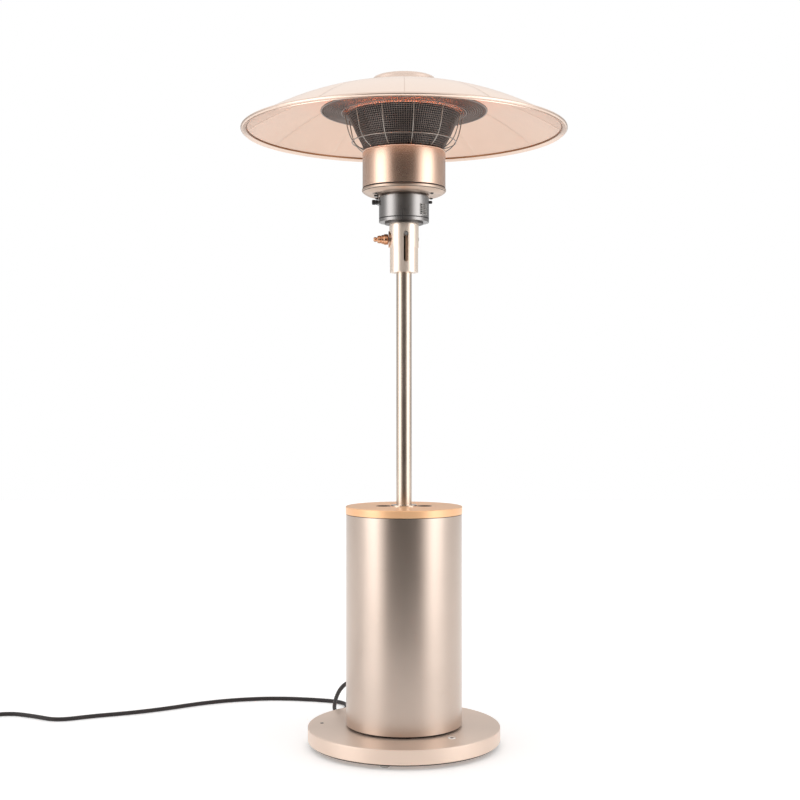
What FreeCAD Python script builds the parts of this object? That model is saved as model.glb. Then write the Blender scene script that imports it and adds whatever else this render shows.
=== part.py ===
import FreeCAD, Part
import math
import os

import Sketcher

# An electric table-top patio heater: a weighted disc and a can that hide the ballast and the
# wiring, a mast, and a head with a bowl of mesh round a ring element under a shallow dome.
# Millimetres. +Z is up, the origin is on the floor under the mast, the front faces -Y.

doc = FreeCAD.newDocument("heater")
sheet = doc.addObject("Spreadsheet::Sheet", "Sizes")


# ---------------------------------------------------------------- sizes

# The driving sizes. Heights are above the floor; "lift" is the height of a lower face.
SIZES = {
    # foot
    "disc_radius": 134.5,
    "disc_thick": 20.0,
    "disc_lift": 7.0,
    "disc_round": 1.6,
    "disc_hub_out": 13.0,
    "disc_rim": 28.5,
    "disc_web": 5.0,
    "glide_inset": 16.5,
    "glide_radius": 7.5,
    "glide_taper": 1.2,
    "stud_radius": 3.0,
    "stud_length": 10.0,
    "underlay_width": 4.6,
    "underlay_inset": 3.2,
    "underlay_thick": 1.8,
    "plug_radius": 2.6,
    "plug_depth": 3.0,
    # can
    "shell_radius": 81.0,
    "shell_wall": 1.2,
    "shell_length": 291.8,
    "plinth_thick": 3.0,
    "plinth_inset": 4.0,
    "plinth_width": 14.0,
    "floor_thick": 3.0,
    "ballast_room": 5.8,
    "ballast_thick": 22.0,
    "bolt_ring": 45.0,
    "bolt_radius": 3.0,
    "bolt_head_radius": 5.0,
    "bolt_head_depth": 6.0,
    "bolt_reach": 12.0,
    "brace_drop": 9.0,
    "brace_thick": 3.0,
    "brace_rim": 6.0,
    "brace_arm": 8.0,
    # mast
    "mast_radius": 10.7,
    "mast_wall": 1.5,
    "mast_length": 715.0,
    "flange_out": 14.0,
    "flange_thick": 5.0,
    "hub_wall": 5.24,
    "hub_height": 14.0,
    "screw_ring_out": 7.0,
    "screw_radius": 2.5,
    "screw_head_radius": 4.2,
    "screw_head_height": 2.8,
    "screw_reach": 10.0,
    "wire_slot_room": 2.0,
    "wire_slot_length": 30.0,
    "wire_slot_rise": 43.0,
    "block_gap": 6.0,
    # lid
    "lid_proud": 0.6,
    "lid_thick": 10.3,
    "lid_round": 1.0,
    "lid_skin": 2.2,
    "lid_skirt": 3.6,
    "lid_boss": 2.5,
    "gasket_thick": 0.9,
    "gasket_width": 3.0,
    "finger_radius": 11.0,
    "finger_gap": 0.5,
    "collar_lip": 3.5,
    "collar_wall": 3.3,
    "collar_thick": 1.6,
    # sleeve and clamp
    "mast_reach": 21.0,
    "sleeve_wall": 8.94,
    "sleeve_step": 0.8,
    "sleeve_length": 67.5,
    "sleeve_step_length": 32.4,
    "slot_room": 0.8,
    "slot_drop": 11.4,
    "slot_length": 42.4,
    "slot_turn": 8.0,
    "pin_radius": 2.8,
    "clamp_drop": 21.0,
    "clamp_thread": 4.0,
    "insert_wall": 3.0,
    "insert_proud": 1.2,
    "insert_lip": 4.5,
    "insert_lip_depth": 3.0,
    "pad_length": 3.0,
    "pad_step": 0.8,
    "screw_knob_radius": 7.5,
    "screw_knob_length": 9.5,
    "screw_waist_radius": 5.7,
    "screw_waist_end": 4.56,
    "screw_waist_length": 5.5,
    "screw_tip_radius": 3.0,
    "screw_tip_end": 2.4,
    "screw_tip_length": 5.5,
    "grub_radius": 2.2,
    # control housing
    "under_disc_out": 6.5,
    "under_disc_thick": 2.6,
    "control_radius": 35.0,
    "control_wall": 1.6,
    "control_height": 35.2,
    "control_groove": 0.6,
    "groove_lift": 4.2,
    "groove_height": 1.4,
    "cover_thick": 3.0,
    "mast_room": 0.7,
    "wire_room": 1.9,
    "grille_sweep": 20.0,
    "grille_height": 14.4,
    "grille_proud": 0.7,
    "grille_lift": 8.4,
    "control_axis_rise": 28.4,
    "spindle_radius": 2.0,
    "knob_radius": 3.6,
    "knob_length": 7.6,
    "knob_gap": 0.6,
    "button_radius": 2.1,
    "button_proud": 4.6,
    # canister
    "neck_inset": 2.4,
    "neck_height": 2.4,
    "pan_taper": 7.8,
    "pan_proud": 0.8,
    "pan_height": 9.6,
    "pan_flare": 6.72,
    "pan_wall": 1.5,
    "can_radius": 58.0,
    "can_wall": 1.5,
    "can_height": 52.0,
    "can_lip": 0.85,
    "plate_thick": 3.0,
    "plate_drop": 5.0,
    # heating element and bowl
    "ceramic_room": 5.0,
    "ceramic_thick": 6.0,
    "element_inset": 5.0,
    "element_tube": 5.0,
    "element_rise": 27.2,
    "element_gap": 30.0,
    "socket_radius": 7.5,
    "socket_height": 11.0,
    "socket_floor": 4.0,
    "wire_radius": 1.6,
    "wire_pitch": 6.0,
    "post_ring": 26.0,
    "post_wall": 0.5,
    "mesh_thick": 0.8,
    "mesh_seat_width": 2.5,
    "mesh_waist_out": 11.2,
    "mesh_waist_rise": 23.2,
    "mesh_throat_out": 22.0,
    "mesh_throat_rise": 46.2,
    "mesh_seat_depth": 2.0,
    "brim_turn_out": 9.2,
    "brim_turn_up": 6.0,
    "brim_out": 39.6,
    "brim_rise": 56.4,
    "hoop_radius": 1.3,
    "guard_wire": 0.75,
    "guard_ring_out": 14.6,
    "guard_ring_rise": 12.8,
    # dome
    "dome_radius": 224.8,
    "dome_rim_rise": 29.2,
    "dome_rise": 63.6,
    "dome_wall": 1.2,
    "bead_radius": 2.6,
    "cap_radius": 45.0,
    "cap_skirt": 9.8,
    "cap_bevel": 2.8,
    "cap_wall": 1.2,
    # lead
    "lead_radius": 3.0,
    "gland_rise": 13.0,
    "gland_turn": 125.0,
    "gland_radius": 9.0,
    "gland_length": 6.0,
    "boot_length": 20.0,
    "boot_radius": 7.2,
    "boot_tip_radius": 4.4,
    "gland_thread": 6.0,
    "gland_reach": 8.0,
    # clearances
    "slide_gap": 0.06,
    "loose_gap": 0.5,
    "touch_gap": 0.3,
    "dome_gap": 0.1,
}


class Size:
    """A number together with the sheet formula that it follows."""

    def __init__(self, value, formula):
        self.value = value
        self.formula = formula

    def __add__(self, other):
        other = as_size(other)
        return Size(self.value + other.value, f"({self.formula} + {other.formula})")

    def __sub__(self, other):
        other = as_size(other)
        return Size(self.value - other.value, f"({self.formula} - {other.formula})")

    def __mul__(self, other):
        other = as_size(other)
        return Size(self.value * other.value, f"({self.formula} * {other.formula})")

    def __truediv__(self, other):
        other = as_size(other)
        return Size(self.value / other.value, f"({self.formula} / {other.formula})")

    def __neg__(self):
        return Size(-self.value, f"(0 - {self.formula})")


def as_size(item):
    return item if isinstance(item, Size) else Size(float(item), f"{float(item):.9f}")


def fill_sheet():
    """Writes the sizes into the sheet and returns each as a Size under its alias."""
    sizes = {}
    for row, (alias, value) in enumerate(SIZES.items(), start=1):
        sheet.set(f"A{row}", alias)
        sheet.set(f"B{row}", str(value))
        sheet.setAlias(f"B{row}", alias)
        sizes[alias] = Size(value, f"Sizes.{alias}")
    doc.recompute()
    return sizes


size = fill_sheet()
ZERO = as_size(0)
# A cone's two radii have to differ, so every upper radius gets this much more.
TAPER = 0.0001


# ---------------------------------------------------------------- ways of making a piece

def bind(item, **sizes):
    """Ties properties of an object to the sheet."""
    for path, amount in sizes.items():
        item.setExpression(path, as_size(amount).formula)


def place(item, x=0, y=0, z=0, axis=(0, 0, 1), turn=0.0):
    """Puts an object at sheet-driven coordinates, turned about an axis by a plain angle."""
    rotation = FreeCAD.Rotation(FreeCAD.Vector(*axis), turn)
    item.Placement = FreeCAD.Placement(FreeCAD.Vector(0, 0, 0), rotation)
    for name, amount in zip("xyz", (x, y, z)):
        item.setExpression(f"Placement.Base.{name}", as_size(amount).formula)
    return item


def polar(radius, angle):
    """X and Y of a point at a radius and an angle in degrees from +X."""
    radius = as_size(radius)
    return radius * math.cos(math.radians(angle)), radius * math.sin(math.radians(angle))


def angles(count, start):
    return [start + 360.0 * i / count for i in range(count)]


def origin_plane(body, role):
    return next(item for item in body.Origin.OriginFeatures if item.Role == role)


def outline_sketch(body, name, role, outline):
    """A closed outline of straight edges, each corner held by two sheet-driven distances."""
    sketch = body.newObject("Sketcher::SketchObject", name)
    sketch.AttachmentSupport = (origin_plane(body, role), [""])
    sketch.MapMode = "FlatFace"
    corners = [(as_size(a), as_size(b)) for a, b in outline]
    count = len(corners)
    for i, (a, b) in enumerate(corners):
        c, d = corners[(i + 1) % count]
        start = FreeCAD.Vector(a.value, b.value, 0)
        end = FreeCAD.Vector(c.value, d.value, 0)
        sketch.addGeometry(Part.LineSegment(start, end))
    for i in range(count):
        sketch.addConstraint(Sketcher.Constraint("Coincident", i, 2, (i + 1) % count, 1))
    for i, corner in enumerate(corners):
        for kind, line, amount in (("DistanceX", -2, corner[0]), ("DistanceY", -1, corner[1])):
            if amount.formula == ZERO.formula:
                sketch.addConstraint(Sketcher.Constraint("PointOnObject", i, 1, line))
                continue
            held = sketch.addConstraint(Sketcher.Constraint(kind, -1, 1, i, 1, amount.value))
            sketch.setExpression(f"Constraints[{held}]", amount.formula)
    return sketch


def turned(label, outline, sweep=360):
    """A body turned about the mast's axis; the outline lists (radius, height)."""
    body = doc.addObject("PartDesign::Body", label)
    sketch = outline_sketch(body, label + "_outline", "XZ_Plane", outline)
    turn = body.newObject("PartDesign::Revolution", label + "_turn")
    turn.Profile = sketch
    turn.ReferenceAxis = (sketch, ["V_Axis"])
    if isinstance(sweep, Size):
        bind(turn, Angle=sweep)
    else:
        turn.Angle = sweep
    sketch.Visibility = False
    return body


def ring(label, inner, outer, lift, height):
    """A plain ring or disc with square edges."""
    return turned(label, [(inner, lift), (outer, lift), (outer, lift + height), (inner, lift + height)])


def bored(body, spots, radius, lift, depth):
    """Round holes along Z in a body, from a level upwards."""
    sketch = body.newObject("Sketcher::SketchObject", body.Name + "_holes")
    sketch.AttachmentSupport = (origin_plane(body, "XY_Plane"), [""])
    sketch.MapMode = "FlatFace"
    sketch.setExpression("AttachmentOffset.Base.z", (lift + depth).formula)
    for i, (x, y) in enumerate(spots):
        x, y = as_size(x), as_size(y)
        centre = FreeCAD.Vector(x.value, y.value, 0)
        sketch.addGeometry(Part.Circle(centre, FreeCAD.Vector(0, 0, 1), radius.value))
        for kind, amount in (("DistanceX", x), ("DistanceY", y)):
            if abs(amount.value) < 1e-9:
                axis = -2 if kind == "DistanceX" else -1
                sketch.addConstraint(Sketcher.Constraint("PointOnObject", i, 3, axis))
                continue
            held = sketch.addConstraint(Sketcher.Constraint(kind, -1, 1, i, 3, amount.value))
            sketch.setExpression(f"Constraints[{held}]", amount.formula)
        held = sketch.addConstraint(Sketcher.Constraint("Radius", i, radius.value))
        sketch.setExpression(f"Constraints[{held}]", radius.formula)
    hole = body.newObject("PartDesign::Pocket", body.Name + "_bores")
    hole.Profile = sketch
    bind(hole, Length=depth)
    return body


def rounded(body, radius, corners):
    """Rounds the turned edges that run through the given (radius, height) corners."""
    doc.recompute()
    blank = body.Tip
    names = []
    for index, edge in enumerate(blank.Shape.Edges, start=1):
        curve = edge.Curve
        if not isinstance(curve, Part.Circle) or abs(curve.Center.x) + abs(curve.Center.y) > 1e-6:
            continue
        for r, z in corners:
            if abs(curve.Radius - r.value) < 1e-4 and abs(curve.Center.z - z.value) < 1e-4:
                names.append(f"Edge{index}")
    fillet = body.newObject("PartDesign::Fillet", body.Name + "_round")
    fillet.Base = (blank, names)
    bind(fillet, Radius=radius)
    return body


def rod(label, radius, height, x=0, y=0, z=0, axis=(0, 0, 1), turn=0.0):
    """A cylinder that starts at a point and runs along the turned Z axis."""
    item = doc.addObject("Part::Cylinder", label)
    bind(item, Radius=radius, Height=height)
    return place(item, x, y, z, axis, turn)


def cone(label, low_radius, high_radius, height, x=0, y=0, z=0, axis=(0, 0, 1), turn=0.0):
    item = doc.addObject("Part::Cone", label)
    bind(item, Radius1=low_radius, Radius2=as_size(high_radius) + TAPER, Height=height)
    return place(item, x, y, z, axis, turn)


def block(label, length, width, height, x=0, y=0, z=0, axis=(0, 0, 1), turn=0.0):
    """A box with one corner at a point."""
    item = doc.addObject("Part::Box", label)
    bind(item, Length=length, Width=width, Height=height)
    return place(item, x, y, z, axis, turn)


def group(label, items):
    """Separate identical pieces that share one node."""
    item = doc.addObject("Part::Compound", label)
    item.Links = items
    return item


def joined(label, items):
    item = doc.addObject("Part::MultiFuse", label)
    item.Shapes = items
    return item


def cut(label, base, tools):
    item = doc.addObject("Part::Cut", label)
    item.Base = base
    item.Tool = tools[0] if len(tools) == 1 else joined(label + "_tools", tools)
    return item


def outward(angle):
    """The axis and turn that lay a Z-axis primitive along the horizontal direction at an angle."""
    radians = math.radians(angle)
    return {"axis": (-math.sin(radians), math.cos(radians), 0), "turn": 90.0}


def cap_shell(label, rim_radius, rim_height, rise, wall):
    """A spherical cap of even wall, trimmed square at its rim radius."""
    ball_radius = (rim_radius * rim_radius + rise * rise) / (rise * 2)
    centre = rim_height + rise - ball_radius
    parts = []
    for name, radius in (("outer", ball_radius), ("inner", ball_radius - wall)):
        ball = doc.addObject("Part::Sphere", f"{label}_{name}")
        bind(ball, Radius=radius)
        parts.append(place(ball, 0, 0, centre))
    skin = cut(label + "_skin", parts[0], parts[1:])
    trim = rod(label + "_trim", rim_radius, rise * 2, z=rim_height - wall * 2)
    shell = doc.addObject("Part::Common", label)
    shell.Base = skin
    shell.Tool = trim
    return shell


def route_wire(points, report=None):
    """Straight runs joined by tangent arcs, each as large as its two runs allow."""
    corners = [FreeCAD.Vector(*point) for point in points]
    edges, start, radii = [], corners[0], []
    for before, corner, after in zip(corners, corners[1:], corners[2:]):
        back, ahead = before - corner, after - corner
        half_turn = (math.pi - back.getAngle(ahead)) / 2
        reach = 0.45 * min(back.Length, ahead.Length)
        radii.append(reach / math.tan(half_turn))
        back.normalize()
        ahead.normalize()
        first, last = corner + back * reach, corner + ahead * reach
        inward = (back + ahead).normalize()
        depth = radii[-1] / math.cos(half_turn) - radii[-1]
        edges.append(Part.LineSegment(start, first).toShape())
        edges.append(Part.Arc(first, corner + inward * depth, last).toShape())
        start = last
    edges.append(Part.LineSegment(start, corners[-1]).toShape())
    wire = Part.Wire(edges)
    if report:
        print(f"{report}: radii", ", ".join(f"{radius:.0f}" for radius in radii))
        print(f"{report}: {wire.Length:.0f} mm long")
    return wire


def tube_along(wire, radius, start, ahead):
    """A round solid swept along a wire that starts at a point and heads towards another."""
    heading = FreeCAD.Vector(*ahead) - FreeCAD.Vector(*start)
    section = Part.Wire(Part.makeCircle(radius, FreeCAD.Vector(*start), heading))
    return wire.makePipeShell([section], True, False)


def swept(label, points, radius, report=None):
    """A round rod or lead bent along a route of points."""
    wire = route_wire(points, report)
    solid = tube_along(wire, radius, points[0], points[1])
    expected = math.pi * radius * radius * wire.Length
    if abs(solid.Volume - expected) > 0.02 * expected:
        raise ValueError(f"{label}: volume {solid.Volume:.0f}, expected {expected:.0f}")
    item = doc.addObject("Part::Feature", label)
    item.Shape = solid
    return item


def value(amount):
    return as_size(amount).value


# ---------------------------------------------------------------- foot

disc_top = size["disc_lift"] + size["disc_thick"]
disc_hub_radius = size["bolt_ring"] + size["disc_hub_out"]
disc_rim_radius = size["disc_radius"] - size["disc_rim"]
glide_ring = size["disc_radius"] - size["glide_inset"]
GLIDE_START = -102.5
BOLT_START = 30.0
# Where the two blanking plugs sit on the disc, as distance from its edge and angle.
PLUGS = ((19.0, 176.0), (38.0, -48.5))


def make_base_disc():
    """The cast disc, relieved below between its hub and its rim, and drilled for its fixings."""
    web = disc_top - size["disc_web"]
    disc = turned("disc_blank", [
        (0, size["disc_lift"]),
        (disc_hub_radius, size["disc_lift"]),
        (disc_hub_radius, web),
        (disc_rim_radius, web),
        (disc_rim_radius, size["disc_lift"]),
        (size["disc_radius"], size["disc_lift"]),
        (size["disc_radius"], disc_top),
        (0, disc_top),
    ])
    edge = size["disc_radius"]
    disc = rounded(disc, size["disc_round"], [(edge, disc_top), (edge, size["disc_lift"])])
    cutters = []
    for i, angle in enumerate(angles(4, GLIDE_START)):
        x, y = polar(glide_ring, angle)
        cutters.append(
            rod(f"stud_hole_{i}", size["stud_radius"], size["stud_length"], x, y, size["disc_lift"]),
        )
    for i, angle in enumerate(angles(3, BOLT_START)):
        x, y = polar(size["bolt_ring"], angle)
        head_room = size["bolt_head_radius"] + size["loose_gap"]
        cutters.append(
            rod(f"bolt_hole_{i}", size["bolt_radius"], size["disc_thick"], x, y, size["disc_lift"]),
        )
        cutters.append(rod(f"head_hole_{i}", head_room, size["bolt_head_depth"], x, y, size["disc_lift"]))
    for i, (inset, angle) in enumerate(PLUGS):
        x, y = polar(size["disc_radius"] - inset, angle)
        floor = disc_top - size["plug_depth"]
        cutters.append(rod(f"plug_hole_{i}", size["plug_radius"], size["plug_depth"], x, y, floor))
    return cut("base_disc", disc, cutters)


def make_glides():
    """Four rubber glides and the studs that hold them."""
    feet, studs = [], []
    for i, angle in enumerate(angles(4, GLIDE_START)):
        x, y = polar(glide_ring, angle)
        low_radius = size["glide_radius"] - size["glide_taper"]
        feet.append(cone(f"glide_{i}", low_radius, size["glide_radius"], size["disc_lift"], x, y, 0))
        studs.append(rod(f"stud_{i}", size["stud_radius"], size["stud_length"], x, y, size["disc_lift"]))
    return [group("glide_feet", feet), group("glide_studs", studs)]


def make_base_underlay():
    """A rubber ring under the disc's edge, clear of the floor."""
    outer = size["disc_radius"] - size["underlay_inset"]
    lift = size["disc_lift"] - size["underlay_thick"]
    return ring("base_underlay", outer - size["underlay_width"], outer, lift, size["underlay_thick"])


def make_disc_plugs():
    plugs = []
    for i, (inset, angle) in enumerate(PLUGS):
        x, y = polar(size["disc_radius"] - inset, angle)
        plugs.append(
            rod(f"plug_{i}", size["plug_radius"], size["plug_depth"], x, y, disc_top - size["plug_depth"]),
        )
    return group("disc_plugs", plugs)


# ---------------------------------------------------------------- can

shell_lift = disc_top + size["plinth_thick"]
shell_top = shell_lift + size["shell_length"]
shell_inner = size["shell_radius"] - size["shell_wall"]
ballast_radius = shell_inner - size["ballast_room"]
gland_back = shell_inner - size["gland_reach"]
floor_top = shell_lift + size["floor_thick"]
ballast_top = floor_top + size["ballast_thick"]
gland_height = ballast_top + size["gland_rise"]
mast_bore = size["mast_radius"] + size["slide_gap"]
hub_radius = mast_bore + size["hub_wall"]
screw_ring = hub_radius + size["screw_ring_out"]
flange_radius = hub_radius + size["flange_out"]
brace_lift = shell_top - size["brace_drop"]


def bolt_spots():
    return [polar(size["bolt_ring"], angle) for angle in angles(3, BOLT_START)]


def screw_spots():
    return [polar(screw_ring, angle) for angle in angles(3, BOLT_START)]


def make_plinth_ring():
    """The dark spacer that leaves a shadow gap between the disc and the can."""
    outer = size["shell_radius"] - size["plinth_inset"]
    return ring("plinth_ring", outer - size["plinth_width"], outer, disc_top, size["plinth_thick"])


def make_housing_floor():
    floor = ring("housing_floor", 0, shell_inner, shell_lift, size["floor_thick"])
    return bored(floor, bolt_spots(), size["bolt_radius"], shell_lift, size["floor_thick"])


def make_ballast():
    """A cast ring round the mast's foot, tapped for the bolts below and the screws above."""
    ballast = ring("ballast", mast_bore, ballast_radius, floor_top, size["ballast_thick"])
    bored(ballast, bolt_spots(), size["bolt_radius"], floor_top, size["bolt_reach"])
    return bored(
        ballast, screw_spots(), size["screw_radius"], ballast_top - size["screw_reach"],
        size["screw_reach"],
    )


def make_base_bolts():
    """Three bolts from under the disc up into the ballast."""
    bolts = []
    reach = size["disc_thick"] + size["plinth_thick"] + size["floor_thick"] + size["bolt_reach"]
    for i, (x, y) in enumerate(bolt_spots()):
        head_lift = size["disc_lift"] + size["bolt_head_depth"]
        shank = rod(
            f"bolt_shank_{i}", size["bolt_radius"], reach - size["bolt_head_depth"], x, y, head_lift,
        )
        head_height = size["bolt_head_depth"] - size["loose_gap"]
        head = rod(
            f"bolt_head_{i}", size["bolt_head_radius"], head_height, x, y,
            size["disc_lift"] + size["loose_gap"],
        )
        bolts.append(joined(f"bolt_{i}", [shank, head]))
    return group("base_bolts", bolts)


def make_mast_flange():
    """The collar that carries the mast upright on the ballast."""
    flange = turned("mast_flange", [
        (mast_bore, ballast_top),
        (flange_radius, ballast_top),
        (flange_radius, ballast_top + size["flange_thick"]),
        (hub_radius, ballast_top + size["flange_thick"]),
        (hub_radius, ballast_top + size["hub_height"]),
        (mast_bore, ballast_top + size["hub_height"]),
    ])
    return bored(flange, screw_spots(), size["screw_radius"], ballast_top, size["flange_thick"])


def make_flange_screws():
    screws = []
    top = ballast_top + size["flange_thick"]
    for i, (x, y) in enumerate(screw_spots()):
        reach = size["screw_reach"] + size["flange_thick"]
        shank = rod(f"flange_shank_{i}", size["screw_radius"], reach, x, y, top - reach)
        head = rod(f"flange_head_{i}", size["screw_head_radius"], size["screw_head_height"], x, y, top)
        screws.append(joined(f"flange_screw_{i}", [shank, head]))
    return group("flange_screws", screws)


def make_housing_shell():
    """The tall can, with the gland's hole low at its back."""
    tube = ring("housing_tube", shell_inner, size["shell_radius"], shell_lift, size["shell_length"])
    along = outward(size["gland_turn"].value)
    x, y = polar(gland_back, size["gland_turn"].value)
    hole = rod(
        "gland_hole", size["gland_thread"], size["gland_reach"] * 3, x, y, gland_height,
        **along,
    )
    return cut("housing_shell", tube, [hole])


def make_mast_brace():
    """A hub, three arms and a rim that hold the mast central just under the lid."""
    rim = ring("brace_rim", shell_inner - size["brace_rim"], shell_inner, brace_lift, size["brace_thick"])
    hub = ring("brace_hub", mast_bore, hub_radius, brace_lift, size["brace_thick"])
    arms = []
    for i, angle in enumerate(angles(3, 90.0)):
        x, y = polar(hub_radius - size["mast_wall"], angle)
        side_x, side_y = polar(size["brace_arm"] / 2, angle - 90)
        length = shell_inner - size["brace_rim"] - hub_radius + size["mast_wall"] * 2
        arms.append(block(
            f"brace_arm_{i}", length, size["brace_arm"], size["brace_thick"],
            x + side_x, y + side_y, brace_lift, turn=angle,
        ))
    return joined("mast_brace", [rim, hub] + arms)


# ---------------------------------------------------------------- mast

mast_top = floor_top + size["mast_length"]
wire_slot_width = size["lead_radius"] * 2 + size["wire_slot_room"]
wire_slot_lift = ballast_top + size["wire_slot_rise"]
# The head stands on the mast, so its heights follow the mast's top.
sleeve_top = mast_top - size["mast_reach"]
sleeve_radius = mast_bore + size["sleeve_wall"]
slot_angle = size["slot_turn"].value - 90.0
slot_width = size["pin_radius"] * 2 + size["slot_room"]
slot_lift = sleeve_top - size["slot_drop"] - size["slot_length"]
pin_height = slot_lift + size["slot_length"] - slot_width / 2


def make_mast():
    """The tube, with a slot for the riser low down and a hole for the guide pin near its top."""
    inner = size["mast_radius"] - size["mast_wall"]
    tube = ring("mast_tube", inner, size["mast_radius"], floor_top, mast_top - floor_top)
    turn = size["gland_turn"].value
    side_x, side_y = polar(wire_slot_width / 2, turn - 90)
    wire_slot = block(
        "wire_slot", size["mast_radius"] * 2, wire_slot_width, size["wire_slot_length"],
        side_x, side_y, wire_slot_lift, turn=turn,
    )
    pin_hole = rod(
        "pin_hole", size["pin_radius"], size["mast_radius"] * 2, z=pin_height, **outward(slot_angle),
    )
    return cut("mast", tube, [wire_slot, pin_hole])


def make_guide_pin():
    """The pin that runs in the sleeve's slot and limits the head's height."""
    start = size["mast_radius"] - size["mast_wall"]
    x, y = polar(start, slot_angle)
    length = sleeve_radius - start - size["touch_gap"] * 2
    return rod("guide_pin", size["pin_radius"], length, x, y, pin_height, **outward(slot_angle))


# ---------------------------------------------------------------- wiring in the foot

def along_gland(distance, height):
    """A point on the gland's upright plane, at a distance from the mast's axis."""
    x, y = polar(distance, size["gland_turn"].value)
    return value(x), value(y), value(height)


TERMINAL = {"length": 20.0, "width": 24.0, "height": 20.0}
TILT_SWITCH = {"length": 22.0, "width": 16.0, "height": 28.0, "y": -14.0}
block_reach = flange_radius + size["block_gap"]
# How far the riser stands inside the block, rises for its slanted run, how much of that run lies
# below the slot's middle, and how far it stands out of the mast.
RISER = {"inset": 6.0, "slope": 1.05, "below": 0.62, "reach": 4.0}


def make_terminal_block():
    turn = size["gland_turn"].value
    x, y = polar(block_reach, turn)
    side_x, side_y = polar(TERMINAL["width"] / 2, turn - 90)
    return block(
        "terminal_block", TERMINAL["length"], TERMINAL["width"], TERMINAL["height"],
        x + side_x, y + side_y, ballast_top, turn=turn,
    )


def make_tilt_switch():
    """A sealed switch that cuts the heat when the heater falls over."""
    return block(
        "tilt_switch", TILT_SWITCH["length"], TILT_SWITCH["width"], TILT_SWITCH["height"],
        block_reach, TILT_SWITCH["y"], ballast_top,
    )


def make_lead_gland():
    """Flange and tapered boot outside the can, threaded stub through its wall."""
    turn = size["gland_turn"].value
    face = size["shell_radius"] + size["touch_gap"]
    parts = []
    for name, low, high, start, length in (
        ("stub", size["gland_thread"], size["gland_thread"], gland_back,
         size["gland_reach"] + size["shell_wall"] + size["touch_gap"]),
        ("head", size["gland_radius"], size["gland_radius"], face, size["gland_length"]),
        ("boot", size["boot_radius"], size["boot_tip_radius"], face + size["gland_length"],
         size["boot_length"]),
    ):
        x, y = polar(start, turn)
        parts.append(
            cone(f"gland_{name}", low, high, length, x, y, gland_height, **outward(turn)),
        )
    x, y = polar(gland_back - size["gland_reach"], turn)
    reach = size["gland_reach"] * 3 + size["gland_length"] + size["boot_length"] * 2
    bore = rod("gland_bore", size["lead_radius"], reach, x, y, gland_height, **outward(turn))
    return cut("lead_gland", joined("gland_solid", parts), [bore])


gland_tip = size["shell_radius"] + size["touch_gap"] + size["gland_length"] + size["boot_length"]

def make_inner_lead():
    """The lead inside the gland and on to the terminal block."""
    turn = size["gland_turn"].value
    start = block_reach + TERMINAL["length"]
    x, y = polar(start, turn)
    return rod(
        "inner_lead", size["lead_radius"], gland_tip - start, x, y, gland_height,
        **outward(turn),
    )


def make_riser_lead():
    """From the terminal block, through the mast's slot and up to the control housing."""
    block_top = ballast_top + TERMINAL["height"]
    stand = block_reach.value - RISER["inset"] + TERMINAL["length"] / 2
    slot_middle = wire_slot_lift + size["wire_slot_length"] / 2
    drop = stand * RISER["slope"]
    points = [
        along_gland(stand, block_top),
        along_gland(stand, slot_middle - drop * RISER["below"]),
        along_gland(0, slot_middle + drop * (1 - RISER["below"])),
        along_gland(0, mast_top + RISER["reach"]),
    ]
    return swept("riser_lead", points, size["lead_radius"].value)


# ---------------------------------------------------------------- lid

lid_lift = shell_top + size["gasket_thick"]
lid_top = lid_lift + size["lid_thick"]
lid_radius = size["shell_radius"] + size["lid_proud"]
collar_bore = size["mast_radius"] + size["loose_gap"]
collar_hub = collar_bore + size["collar_wall"]
lid_boss = collar_hub + size["lid_boss"]
finger_offset = lid_boss + size["finger_gap"] + size["finger_radius"]


def make_lid():
    """The coppered lid, hollow below, with two finger holes beside the mast."""
    ceiling = lid_top - size["lid_skin"]
    skirt = lid_radius - size["lid_skirt"]
    lid = turned("lid", [
        (collar_hub, lid_lift),
        (lid_boss, lid_lift),
        (lid_boss, ceiling),
        (skirt, ceiling),
        (skirt, lid_lift),
        (lid_radius, lid_lift),
        (lid_radius, lid_top),
        (collar_hub, lid_top),
    ])
    rounded(lid, size["lid_round"], [(lid_radius, lid_top)])
    doc.recompute()
    spots = [(finger_offset, ZERO), (-finger_offset, ZERO)]
    return bored(lid, spots, size["finger_radius"], lid_lift, size["lid_thick"])


def make_lid_collar():
    """The turned collar that lines the lid's bore."""
    collar_radius = collar_hub + size["collar_lip"]
    return turned("lid_collar", [
        (collar_bore, lid_lift),
        (collar_hub, lid_lift),
        (collar_hub, lid_top),
        (collar_radius, lid_top),
        (collar_radius, lid_top + size["collar_thick"]),
        (collar_bore, lid_top + size["collar_thick"]),
    ])


def make_lid_gasket():
    outer = size["shell_radius"]
    return ring("lid_gasket", outer - size["gasket_width"], outer, shell_top, size["gasket_thick"])


# ---------------------------------------------------------------- sleeve and clamp

sleeve_outer = sleeve_radius + size["sleeve_step"]
clamp_height = sleeve_top - size["clamp_drop"]
insert_radius = size["clamp_thread"] + size["insert_wall"]
insert_flange = insert_radius + size["insert_lip"]
flange_start = sleeve_outer - size["insert_lip_depth"]


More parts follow.
